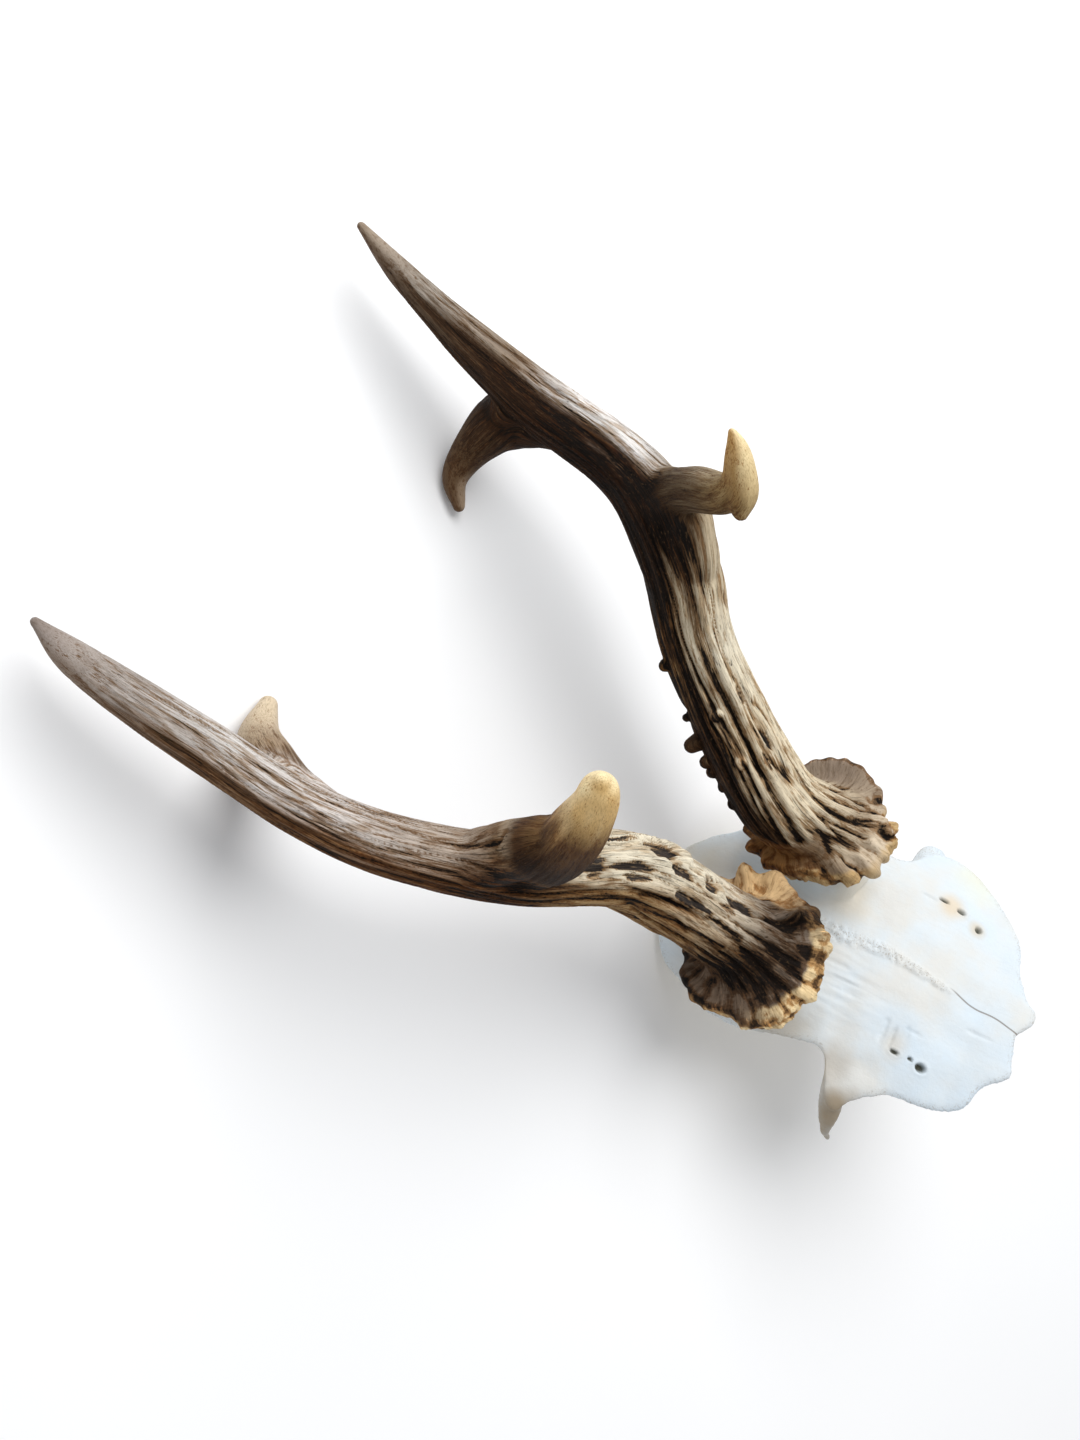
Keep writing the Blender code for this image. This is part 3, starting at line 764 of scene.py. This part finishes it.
def tone_of(side, lay, normal):
    """Crest colour, groove colour, share covered by the groove colour, and how far each vertex is on the
    lit side, whose colours are partly painted light, while the far side is partly painted shade.
    """
    rows = np.array(PALE_AND_LIT_WAYS[side])
    *way, less = (np.interp(lay.flow, rows[:, 0], column) for column in rows[:, 1:].T)
    facing = unit(normal + 1.2 * lay.radial() * (1.0 - lay.on_tine)[:, None])
    face = (facing * unit(np.stack(way, axis=1))).sum(axis=1) - less
    # how far each vertex faces the lit way: that side is painted lighter and the far side painted as
    # shade, on top of the beam's real pale and dark faces
    pale_and_lit = smoothstep(-0.30, 0.80, face + 0.45 * lay.noise(901, 30.0, 3.2))
    sets = []
    for name in ("beam", "front_tine", "rear_tine"):
        along = lay.flow if name == "beam" else lay.tine_along
        (light, dark, groove), (low, high) = tone_rows(f"{side}_{name}", along)
        sets.append((mixed(dark, light, pale_and_lit), groove, mixed(high, low, pale_and_lit)))
    rear = (lay.tine == 1).astype(float)
    tones = [mixed(beam, mixed(front, back, rear), lay.on_tine) for beam, front, back in zip(*sets)]
    return (*tones, pale_and_lit)


def coronet_mask(lay):
    """1 on the coronet, 0 on the beam."""
    start = 0.60 - 0.12 * np.maximum(lay.broad_petal, lay.inner_side)
    return smoothstep(start, start + 0.18, lay.rim_share) * smoothstep(15.0, 10.0, lay.rim_height)


def relief_of(side, lay, pale_and_lit):
    """Height in mm, and a mask of how much each place is crest (1) or groove (0)."""
    seed = 10 if side == "left" else 40
    sway, bend = lay.noise(seed, 30.0, 9.0), lay.noise(seed + 1, 26.0, 9.0)
    warp = np.stack([np.zeros(len(pale_and_lit)), sway, bend], axis=1)
    cords = lay.noise(seed + 2, 80.0, 2.9, warp * 0.8)
    rills = lay.noise(seed + 3, 40.0, 1.6, warp * 0.9)
    grit = lay.noise(seed + 4, 7.0, 0.95)
    shade = 1.0 - pale_and_lit
    channel = bell(cords, 0.13 + 0.13 * shade)
    rill = bell(rills, 0.11 + 0.05 * shade) * (0.5 + 0.5 * shade)
    low = 1.0 - np.clip(lay.flow / 125.0, 0.0, 1.0)
    strength = (0.34 + 0.66 * low ** 0.7) * (1.0 - 0.75 * lay.on_tine) * smoothstep(3.0, 40.0, lay.left)
    crest = 1.0 - np.maximum(channel, 0.7 * rill) * (0.30 + 0.70 * strength)
    height = strength * (1.15 * (0.40 - channel) + 0.8 * np.abs(cords) - 0.36 * rill + 0.16 * grit)
    burr = coronet_mask(lay)
    ruffle, folds = ruffles(side, seed, lay)
    return mixed(height, ruffle, burr), mixed(crest, folds, burr)


def ruffles(side, seed, lay):
    """The coronet's pleats: height in mm, and a mask that falls to 0 in the folds between them."""
    pleats = lay.noise(seed + 5, 60.0, 2.9) + 0.35 * Noise(seed + 8)(lay.points / 5.0)
    fine = lay.noise(seed + 6, 30.0, 0.9)
    lumps = Noise(seed + 7)(lay.points / 2.5) + 0.5 * Noise(seed + 9)(lay.points / 1.1)
    front = nearness(lay.rim_angle, FRONT_ANGLE, 52.0, 3)
    deep = 0.34 - PETAL_CALM[side] * lay.broad_petal + FRONT_FOLDS[side] * front + 0.10 * lay.inner_side
    rough = np.clip(edge_band(side, lay) + 0.4 * lay.inner_side, 0.0, 1.0)
    height = deep * (2.8 * np.abs(pleats) - 1.0) + 0.16 * fine + 0.95 * rough * lumps
    folds = 1.0 - bell(pleats, 0.20) * np.clip(deep, 0.0, 1.0)
    hollows = 0.42 * rough * smoothstep(-0.1, -0.5, lumps)
    return height, np.clip(folds - hollows, 0.0, 1.0)


def edge_band(side, lay):
    """1 on the porous edge and underside of the coronet, 0 elsewhere."""
    ragged = lay.rim_share + 0.05 * Noise(5)(lay.points / 2.2)
    band = smoothstep(0.0, -2.4, lay.rim_height + 1.2 * Noise(6)(lay.points / 3.0))
    for middle, width, share in CORONET_EDGES[side]:
        near = nearness(lay.rim_angle, middle, width, 4)
        band = np.maximum(band, near * smoothstep(share - 0.03, share + 0.03, ragged))
    return band * coronet_mask(lay)


def add_pits(side, lay, height, crest):
    """Sink the listed hollows, each with a slightly raised lip."""
    off_beam = 6.0 * (lay.on_tine + coronet_mask(lay))
    pits = np.zeros(len(height))
    for x, y, z, half_length, half_width, depth, rim in PITS[side]:
        along, angle, _, radius = (value[0] for value in lay.beam.locate(np.array([[x, y, z]])))
        across = turn_from(lay.angle, angle) * radius
        ragged = 0.45 * lay.noise(77, 5.0, 1.1)
        gap = np.hypot((lay.along - along) / half_length, across / half_width) + ragged + off_beam
        pit = smoothstep(1.10, 0.78, gap)
        lip = bell(gap - 1.35, 0.25)
        height += rim * lip - depth * pit
        crest *= 1.0 - pit
        crest += (1.0 - crest) * lip * min(1.0, 0.5 + rim)
        pits = np.maximum(pits, pit)
    return height, crest, pits


def add_furrows(side, lay, height, crest):
    """Cut the listed long channels, each between two raised cords."""
    for half_width, depth, points in FURROWS[side]:
        along, angle, _, radius = lay.beam.locate(smooth_line(points, 0.5))
        share = np.linspace(0.0, 1.0, len(along))
        gap, fade = np.full(len(lay.along), np.inf), np.zeros(len(lay.along))
        for place, turn, size, amount in zip(along, angle, radius, smoothstep(0.0, 0.35, share)):
            here = np.hypot(lay.along - place, turn_from(lay.angle, turn) * size)
            fade = np.where(here < gap, amount, fade)
            gap = np.minimum(gap, here)
        gap += 0.35 * half_width * Noise(78)(lay.points / 2.5)
        cut = bell(gap, half_width) * fade
        cord = bell(gap - 2.3 * half_width, half_width) * fade
        height += 0.45 * depth * cord - depth * cut
        crest *= 1.0 - 0.95 * cut
        crest += (1.0 - crest) * 0.8 * cord
    return height, crest


def build_antler(side, material):
    antler = ANTLERS[side]
    branches = [Branch(antler[name]) for name in ("beam", "front_tine", "rear_tine")]
    beam, *tines = branches
    beam_verts, beam_faces = tube(beam)
    parts = [(flat_foot(beam_verts, antler), beam_faces), *(tube(tine) for tine in tines),
             coronet(side, antler, beam)]
    parts += [tube(Branch(rows)) for rows in WEBS[side] + HEELS[side]]
    parts += [pearl(beam, *row) for row in PEARLS[side]]
    forks = [antler[name][1][:3] for name in ("front_tine", "rear_tine")]
    blunt = antler["front_tine"][-1][:3]

    def smoothing(points):
        at_tip = 0.6 * smoothstep(9.0, 4.0, gap_to(points, [blunt]))
        return np.maximum(smoothstep(26.0, 12.0, gap_to(points, forks)), at_tip)

    thing = fuse(f"{side}_antler", parts, ANTLER_VOXEL, smoothing)
    mesh = thing.data
    points, normal = coordinates(mesh), vectors(mesh.vertex_normals, "vector")
    lay = Lay(side, antler, branches, points)
    crest_colour, groove_colour, cover, pale_and_lit = tone_of(side, lay, normal)
    height, crest = relief_of(side, lay, pale_and_lit)
    height, crest = add_furrows(side, lay, height, crest)
    height, crest, pits = add_pits(side, lay, height, crest)
    groove_colour = mixed(groove_colour, linear(CHARCOAL), pits)
    set_coordinates(mesh, points + normal * height[:, None])
    crest_colour, groove_colour, cover = coronet_tone(side, lay, crest_colour, groove_colour, cover)
    add_layers(mesh, {
        "beam_grain": lay.beam_grain(), "tine_grain": lay.tine_grain(), "on_tine": lay.on_tine,
        "crest": crest, "crest_colour": crest_colour, "groove_colour": groove_colour, "cover": cover,
        "polish": smoothstep(24.0, 6.0, lay.left), "burr": coronet_mask(lay),
    })
    finish_piece(thing, [f"{side}_{part}" for part in ANTLER_PARTS], material)


def coronet_tone(side, lay, colour, groove, cover):
    """The tones, changed on the coronet."""
    burr = coronet_mask(lay)
    for middle, width, upper, share in CORONET_TONES[side]:
        near = burr * nearness(lay.rim_angle, middle, width)
        colour = mixed(colour, linear(upper), near)
        cover = mixed(cover, share, near)
    cover = cover + 0.7 * burr * (0.3 + 0.7 * lay.broad_petal) * smoothstep(0.86, 0.96, lay.rim_share)
    under = edge_band(side, lay)
    return (mixed(colour, linear(CORONET_UNDERSIDE[side]), under), mixed(groove, linear(UMBER), under),
            cover * (1.0 - 0.80 * under))


# ---------------------------------------------------------------- skull cap

def forehead(x, y):
    """Height of the skull's outer surface."""
    ys, zs = zip(*MIDLINE)
    temple = smoothstep(-25.0, 10.0, y)
    edge = np.maximum(0.0, np.abs(x) - 22.0)
    fall = 0.005 * x * x + temple * (0.004 * x * x + 0.02 * edge * edge)
    return np.interp(y, ys, zs) - fall


def rim_reach(angle):
    """Distance from RIM_CENTRE to the cap's outline at each angle."""
    knots = np.array([(*row, 0.0) for row in RIM] + [(*RIM[0], 0.0)])
    line = smooth_line(knots, 1.5)[:-1, :2] - RIM_CENTRE
    line_angle = np.arctan2(line[:, 1], line[:, 0])
    order = np.argsort(line_angle)
    return np.interp(angle, line_angle[order], np.hypot(line[order, 0], line[order, 1]), period=math.tau)


def cap_plate():
    """The bone plate: an upper and a lower sheet that meet round the outline."""
    edge_thickness = 1.5
    angle = np.linspace(-math.pi, math.pi, 480, endpoint=False)
    reach = rim_reach(angle)
    shares = np.concatenate([np.linspace(0.02, 0.94, 50), [0.97, 0.99, 1.0]])
    upper, lower = [], []
    for share in shares:
        x = RIM_CENTRE[0] + np.cos(angle) * reach * share
        y = RIM_CENTRE[1] + np.sin(angle) * reach * share
        z = forehead(x, y)
        inner = np.maximum(0.0, (1.0 - share) * reach)
        rounding = np.exp(-inner / 0.6)
        thick = edge_thickness + (PLATE_THICKNESS - edge_thickness) * smoothstep(0.0, 9.0, inner)
        upper.append(np.stack([x, y, z - 0.9 * rounding], axis=1))
        lower.append(np.stack([x, y, z - thick + 0.3 * rounding], axis=1))
    return closed_loft(upper + lower[::-1])


def pedicle(antler):
    """The stump of bone that carries an antler."""
    axis, centre = unit(antler["coronet_axis"]), np.array(antler["coronet_centre"])
    foot = centre - axis * PEDICLE_FOOT_DEPTH
    rows = ((*foot, PEDICLE_FOOT_RADIUS), (*((foot + centre) / 2), PEDICLE_TOP_RADIUS + 0.6),
            (*(centre - axis * 2.5), PEDICLE_TOP_RADIUS))
    return tube(Branch(rows))


def oval(points, x, y, half_length, half_width):
    """Distance from an oval's centre, 1 on its outline; its length lies along Y."""
    return np.hypot((points[:, 1] - y) / half_length, (points[:, 0] - x) / half_width)


def skull_relief(points, normal):
    """Height in mm and the masks that the bone's material uses, at each point."""
    x, y, z = points.T
    outer = smoothstep(-1.9, -1.0, z - forehead(x, y))
    reach = rim_reach(np.arctan2(y - RIM_CENTRE[1], x - RIM_CENTRE[0]))
    inward = reach - np.hypot(x - RIM_CENTRE[0], y - RIM_CENTRE[1])
    edge = smoothstep(2.6, 0.2, inward)
    start, stop = SUTURE_REACH
    run = np.clip((start - y) / (start - stop), 0.0, 1.0)
    half_width = 3.0 - 2.2 * run
    seam = np.exp(-(np.abs(x - 0.8 * np.sin(y / 7.0)) / half_width) ** 4)
    seam *= smoothstep(start + 3.0, start - 2.0, y) * smoothstep(stop - 2.0, stop + 4.0, y) * outer

    height = 0.50 * Noise(201)(points / 10.0) + 0.04 * Noise(202)(points / 1.2)
    wrinkled = bell(x + 14.0, 9.0) * bell(y + 23.0, 11.0)
    height += 0.34 * wrinkled * Noise(203)(points * (0.62, 0.10, 0.62))
    grains = Noise(204)(points / 0.95) + 0.6 * Noise(205)(points / 1.9)
    height += seam * (0.55 + 0.75 * grains)
    for dent_x, dent_y, radius, depth in DENTS:
        height -= outer * depth * bell(oval(points, dent_x, dent_y, radius, radius), 1.0)
    # where the painted shade inside the nerve holes goes
    hole_shade = np.zeros(len(points))
    for hole_x, hole_y, half_length, half_width, depth in FORAMINA:
        gap = oval(points, hole_x, hole_y, half_length, half_width)
        inside = outer * smoothstep(1.2, 0.55, gap)
        height -= depth * inside - 0.16 * outer * bell(gap - 1.5, 0.3)
        hole_shade = np.maximum(hole_shade, inside)
    for cut_x, cut_y, half_length, half_width, depth in SCRAPES:
        gap = oval(points, cut_x, cut_y, half_length, half_width) + 0.3 * Noise(206)(points / 1.5)
        height -= outer * depth * smoothstep(1.2, 0.3, gap)
    height += edge * (0.10 * Noise(207)(points / 1.1) + 0.22 * Noise(208)(points / 3.4))
    within = (1.0 - outer) * smoothstep(0.0, -0.5, normal[:, 2])
    height += within * (0.35 * Noise(209)(points / 7.0) - 0.45 * bell(Noise(210)(points / 10.0), 0.05))
    return height, {"seam": seam, "hole_shade": hole_shade, "edge": edge, "within": within}


def stain_and_shade_of(points):
    """Colour and amount of the stains at each point, with the painted shade on the right process and under
    the coronets among them.
    """
    colour = np.tile(linear(STAINS_AND_SHADE[0][4]), (len(points), 1))
    amount = np.zeros(len(points))
    ragged = 0.25 * Noise(211)(points / 5.0)
    spots = [(share * smoothstep(1.5, 0.2, oval(points, x, y, radius, radius) + ragged), tone)
             for x, y, radius, share, tone in STAINS_AND_SHADE]
    # an ochre ring round each pedicle under its coronet: part real ochre smear, part painted shade under
    # the coronet
    for antler in ANTLERS.values():
        gap = gap_to(points, [antler["coronet_centre"]]) + 8.0 * ragged
        spots.append((0.85 * smoothstep(16.0, 9.0, gap), OCHRE))
    for near, tone in spots:
        colour = mixed(colour, linear(tone), near / np.maximum(near + amount, 1e-6))
        amount = np.maximum(amount, near)
    return colour, amount


def build_skull_cap(material):
    parts = [cap_plate(), *(pedicle(antler) for antler in ANTLERS.values())]
    for flip, drop, girth in ((-1, LEFT_PROCESS_DROP, LEFT_PROCESS_GIRTH), (1, 0.0, 1.0)):
        rows = [(flip * x, y, z - drop, radius * girth) for x, y, z, radius in PROCESS]
        parts.append(tube(Branch(rows)))
    feet = [antler["coronet_centre"] - 12.0 * unit(antler["coronet_axis"]) for antler in ANTLERS.values()]
    roots = [(flip * PROCESS[1][0], *PROCESS[1][1:3]) for flip in (1, -1)]

    def smoothing(points):
        at_feet = smoothstep(26.0, 15.0, gap_to(points, feet))
        return np.maximum(at_feet, smoothstep(11.0, 6.0, gap_to(points, roots)))

    thing = fuse("skull_cap_bone", parts, BONE_VOXEL, smoothing)
    mesh = thing.data
    points, normal = coordinates(mesh), vectors(mesh.vertex_normals, "vector")
    height, masks = skull_relief(points, normal)
    set_coordinates(mesh, points + normal * height[:, None])
    colour, amount = stain_and_shade_of(points)
    add_layers(mesh, {"skull": points, **masks, "stain_and_shade": amount, "stain_and_shade_colour": colour})
    finish_piece(thing, ["skull_cap"], material)


# ---------------------------------------------------------------- materials

class Nodes:
    """Short calls for building a node tree."""

    def __init__(self, name):
        self.material = bpy.data.materials.new(name)
        self.material.use_nodes = True
        self.tree = self.material.node_tree
        self.shader = self.tree.nodes["Principled BSDF"]

    def put(self, socket, value):
        """Link a node's output to a socket, or give the socket a number, vector or colour."""
        if isinstance(value, bpy.types.NodeSocket):
            self.tree.links.new(value, socket)
        elif socket.type == "RGBA":
            socket.default_value = (*value, 1.0)
        else:
            socket.default_value = value

    def node(self, kind, inputs=(), **settings):
        """A new node, with its settings and its (socket, value) inputs."""
        made = self.tree.nodes.new(kind)
        for key, value in settings.items():
            setattr(made, key, value)
        for name, value in inputs:
            self.put(made.inputs[name], value)
        return made

    def surface(self, name, value):
        self.put(self.shader.inputs[name], value)

    def attribute(self, name, output="Fac"):
        return self.node("ShaderNodeAttribute", attribute_name=name).outputs[output]

    def math(self, operation, first, second=0.0, clamp=False):
        inputs = ((0, first), (1, second))
        return self.node("ShaderNodeMath", inputs, operation=operation, use_clamp=clamp).outputs[0]

    def times(self, first, second, clamp=False):
        return self.math("MULTIPLY", first, second, clamp)

    def plus(self, first, second):
        return self.math("ADD", first, second)

    def minus(self, first, second):
        return self.math("SUBTRACT", first, second)

    def most(self, first, second):
        return self.math("MAXIMUM", first, second)

    def stretched(self, vector, scale):
        inputs = ((0, vector), (1, scale))
        return self.node("ShaderNodeVectorMath", inputs, operation="MULTIPLY").outputs[0]

    def noise(self, vector, scale, detail=3.0, roughness=0.55, distortion=0.0):
        inputs = (("Vector", vector), ("Scale", scale), ("Detail", detail), ("Roughness", roughness),
                  ("Distortion", distortion))
        return self.node("ShaderNodeTexNoise", inputs).outputs["Fac"]

    def swing(self, noise, size):
        """Noise centred on 0 and scaled."""
        return self.times(self.minus(noise, 0.5), size)

    def line(self, noise, inner, outer):
        """1 along the thin lines where noise crosses its middle, 0 elsewhere."""
        gap = self.math("ABSOLUTE", self.minus(noise, 0.5))
        return self.minus(1.0, self.step(gap, inner, outer))

    def ramp(self, value, stops):
        """Colour ramp; stops are (place, colour)."""
        made = self.node("ShaderNodeValToRGB", (("Fac", value),))
        band = made.color_ramp
        for element, (place, colour) in zip(band.elements, (stops[0], stops[-1])):
            element.position, element.color = place, (*colour, 1.0)
        for place, colour in stops[1:-1]:
            band.elements.new(place).color = (*colour, 1.0)
        return made.outputs["Color"]

    def step(self, value, low, high):
        inputs = (("Value", value), ("From Min", low), ("From Max", high))
        return self.node("ShaderNodeMapRange", inputs, interpolation_type="SMOOTHSTEP").outputs["Result"]

    def blend(self, share, first, second):
        """Number between two numbers."""
        inputs = ((0, share), (2, first), (3, second))
        return self.node("ShaderNodeMix", inputs, data_type="FLOAT").outputs[0]

    def mix(self, share, first, second, blend="MIX"):
        """Colour between two colours."""
        inputs = ((0, share), (6, first), (7, second))
        return self.node("ShaderNodeMix", inputs, data_type="RGBA", blend_type=blend).outputs[2]

    def tint(self, first, second):
        return self.mix(1.0, first, second, "MULTIPLY")

    def bump(self, height, strength, distance):
        inputs = (("Strength", strength), ("Distance", distance), ("Height", height))
        self.surface("Normal", self.node("ShaderNodeBump", inputs).outputs["Normal"])


def antler_material():
    look = Nodes("antler")
    on_tine = look.attribute("on_tine")
    grains = [look.attribute(name, "Vector") for name in ("beam_grain", "tine_grain")]

    def grained(scale, detail, roughness=0.55):
        """Noise that runs with the grain of the beam, and of the tine where it is one."""
        places = (look.stretched(grain, scale) for grain in grains)
        return look.blend(on_tine, *(look.noise(place, 1.0, detail, roughness) for place in places))

    streak = grained((0.07, 0.85, 0.85), 4.0)
    fibre = grained((0.20, 3.0, 3.0), 5.0, 0.68)
    speck = grained((0.9, 2.6, 2.6), 3.0, 0.6)
    crack = grained((0.045, 1.5, 1.5), 1.0)
    thread = grained((0.060, 3.6, 3.6), 1.0)
    mottle = grained((0.10, 0.42, 0.42), 3.0, 0.6)
    crest, cover = look.attribute("crest"), look.attribute("cover")
    polish, burr = look.attribute("polish"), look.attribute("burr")
    blotch = look.noise(look.stretched(grains[0], (0.35, 0.35, 0.35)), 1.0, 4.0, 0.65)

    # Where the pale crest shows and where the groove colour covers it
    grainy = look.plus(look.swing(streak, 1.7), look.swing(fibre, 1.5))
    grainy = look.plus(grainy, look.swing(speck, 0.6))
    level = look.minus(crest, look.times(cover, 0.80))
    level = look.plus(level, look.blend(look.times(burr, 0.65), grainy, look.swing(blotch, 2.2)))
    pale = look.step(level, -0.05, 0.60)

    # Both colours, each varied along the fibres
    light = look.tint(look.attribute("crest_colour", "Color"), look.ramp(fibre, PALE_FIBRE))
    kept = look.most(polish, look.times(burr, 0.8))
    bare = look.minus(1.0, kept)
    worn = look.times(look.step(mottle, 0.50, 0.64), bare)
    light = look.mix(look.times(worn, 0.60), light, look.tint(light, WEATHERED))
    deep = look.tint(look.attribute("groove_colour", "Color"), look.ramp(fibre, DARK_FIBRE))
    colour = look.mix(pale, deep, light)

    # A rusty fringe round the pale crests, and pale flecks on the dark side
    fringe = look.times(pale, look.minus(1.0, pale))
    colour = look.mix(look.times(fringe, 2.8, clamp=True), colour, look.tint(light, RUST))
    fleck = look.times(look.step(fibre, 0.53, 0.66), look.step(cover, 0.40, 0.70))
    colour = look.mix(look.times(fleck, 0.75), colour, look.tint(colour, FLECKED))

    # Fine dark cracks and dots
    hair = look.times(look.line(crack, 0.003, 0.014), look.step(streak, 0.44, 0.56))
    fine = look.times(look.line(thread, 0.004, 0.030), look.step(mottle, 0.42, 0.60))
    hair = look.times(look.most(hair, look.times(fine, 0.75)), bare)
    colour = look.mix(look.times(hair, 0.8), colour, linear(BARK))
    dots = look.times(look.step(speck, 0.60, 0.70), look.minus(1.0, polish))
    colour = look.mix(look.times(dots, 0.55), colour, linear(UMBER))

    look.surface("Base Color", colour)
    look.surface("Specular IOR Level", 0.10)
    rough = look.minus(look.plus(0.50, look.times(fibre, 0.28)), look.times(polish, 0.20))
    look.surface("Roughness", rough)
    height = look.plus(look.times(fibre, 0.8), look.times(speck, 0.35))
    height = look.plus(look.minus(height, look.times(hair, 0.6)), look.times(pale, 0.35))
    height = look.times(height, look.minus(1.0, look.times(polish, 0.75)))
    look.bump(height, 0.75, 0.0007)
    return look.material


def bone_material():
    look = Nodes("bleached_bone")
    skull = look.attribute("skull", "Vector")
    cloud = look.noise(skull, 0.045, 4.0)
    grain = look.noise(look.stretched(skull, (0.9, 0.14, 0.9)), 1.0, 5.0, 0.6, 0.6)
    grit = look.noise(skull, 1.5, 4.0, 0.65)
    pores = look.noise(skull, 2.2, 2.0)

    colour = look.ramp(cloud, BLEACHED)
    colour = look.mix(look.attribute("within"), colour, INSIDE)
    lines = look.ramp(grain, ((0.34, (0.94, 0.93, 0.92)), (0.52, (1.0, 1.0, 1.0))))
    colour = look.mix(0.35, colour, lines, "MULTIPLY")
    # stains, partly painted shade on the right process and under the coronets
    colour = look.mix(look.attribute("stain_and_shade"), colour, look.attribute("stain_and_shade_colour", "Color"))
    porous = look.most(look.attribute("edge"), look.attribute("seam"))
    pit = look.times(look.step(pores, 0.56, 0.66), porous)
    colour = look.mix(look.times(pit, 0.45), colour, linear(TAN))
    # painted shade inside the nerve holes
    colour = look.mix(look.attribute("hole_shade"), colour, linear(HOLE_SHADE))

    # The crack along the midline
    place = look.node("ShaderNodeSeparateXYZ", ((0, skull),))
    x, y = place.outputs["X"], place.outputs["Y"]
    sway = look.times(look.math("SINE", look.times(y, 0.45)), 0.35)
    drift = look.times(look.minus(y, CRACK_START), 0.12)
    gap = look.math("ABSOLUTE", look.minus(x, look.plus(sway, drift)))
    reach = look.step(look.times(y, -1.0), -CRACK_START - 1.0, -CRACK_START + 3.0)
    crack = look.times(look.minus(1.0, look.step(gap, 0.10, 0.34)), reach)
    colour = look.mix(look.times(crack, 0.65), colour, linear(UMBER))

    look.surface("Base Color", colour)
    look.surface("Specular IOR Level", 0.35)
    look.surface("Roughness", look.plus(0.48, look.times(grit, 0.25)))
    height = look.plus(look.times(grain, 0.18), look.times(grit, 0.35))
    height = look.minus(look.minus(height, look.times(crack, 0.9)), look.times(pit, 0.5))
    look.bump(height, 0.45, 0.0005)
    return look.material


def floor_material():
    look = Nodes("pale_floor")
    place = look.node("ShaderNodeTexCoord").outputs["Object"]
    cloud = look.noise(place, 6.0, 2.0)
    colour = look.ramp(cloud, ((0.3, (0.95, 0.95, 0.95)), (0.7, (0.97, 0.97, 0.97))))
    look.surface("Base Color", colour)
    look.surface("Roughness", 0.9)
    return look.material


# ---------------------------------------------------------------- stage

def add_camera():
    data = bpy.data.cameras.new("camera")
    data.lens = CAMERA_LENS
    data.sensor_width = CAMERA_SENSOR
    data.clip_start = 0.01
    camera = add_object("camera", data)
    right, up = Vector(CAMERA_RIGHT).normalized(), -Vector(CAMERA_DOWN).normalized()
    back = right.cross(up)
    turn = Matrix((right, back.cross(right), back)).transposed()
    turn = REST_TURN.to_3x3() @ turn
    camera.matrix_world = Matrix.Translation(SKULL_TO_WORLD @ Vector(CAMERA_PLACE)) @ turn.to_4x4()
    bpy.context.scene.camera = camera


def add_floor():
    mesh = bpy.data.meshes.new("floor")
    corners = [(x * FLOOR_HALF, y * FLOOR_HALF, 0) for x, y in ((-1, -1), (1, -1), (1, 1), (-1, 1))]
    mesh.from_pydata(corners, [], [(0, 1, 2, 3)])
    floor = add_object("floor", mesh)
    mesh.materials.append(floor_material())


def add_lights():
    """One soft disk light over a pale even sky."""
    world = bpy.data.worlds.new("studio")
    world.use_nodes = True
    background = world.node_tree.nodes["Background"]
    background.inputs["Color"].default_value = SKY_COLOUR
    background.inputs["Strength"].default_value = SKY_STRENGTH
    bpy.context.scene.world = world
    data = bpy.data.lights.new("key", "AREA")
    data.shape = "DISK"
    data.size = KEY_SIZE
    data.energy = KEY_POWER
    light = add_object("key", data)
    light.location = KEY_PLACE
    light.rotation_mode = "QUATERNION"
    light.rotation_quaternion = (Vector(KEY_TARGET) - Vector(KEY_PLACE)).to_track_quat("-Z", "Y")
    bpy.context.scene.view_settings.view_transform = "Standard"


def main():
    add_camera()
    add_floor()
    add_lights()
    material = antler_material()
    for side in ANTLERS:
        build_antler(side, material)
    build_skull_cap(bone_material())


main()
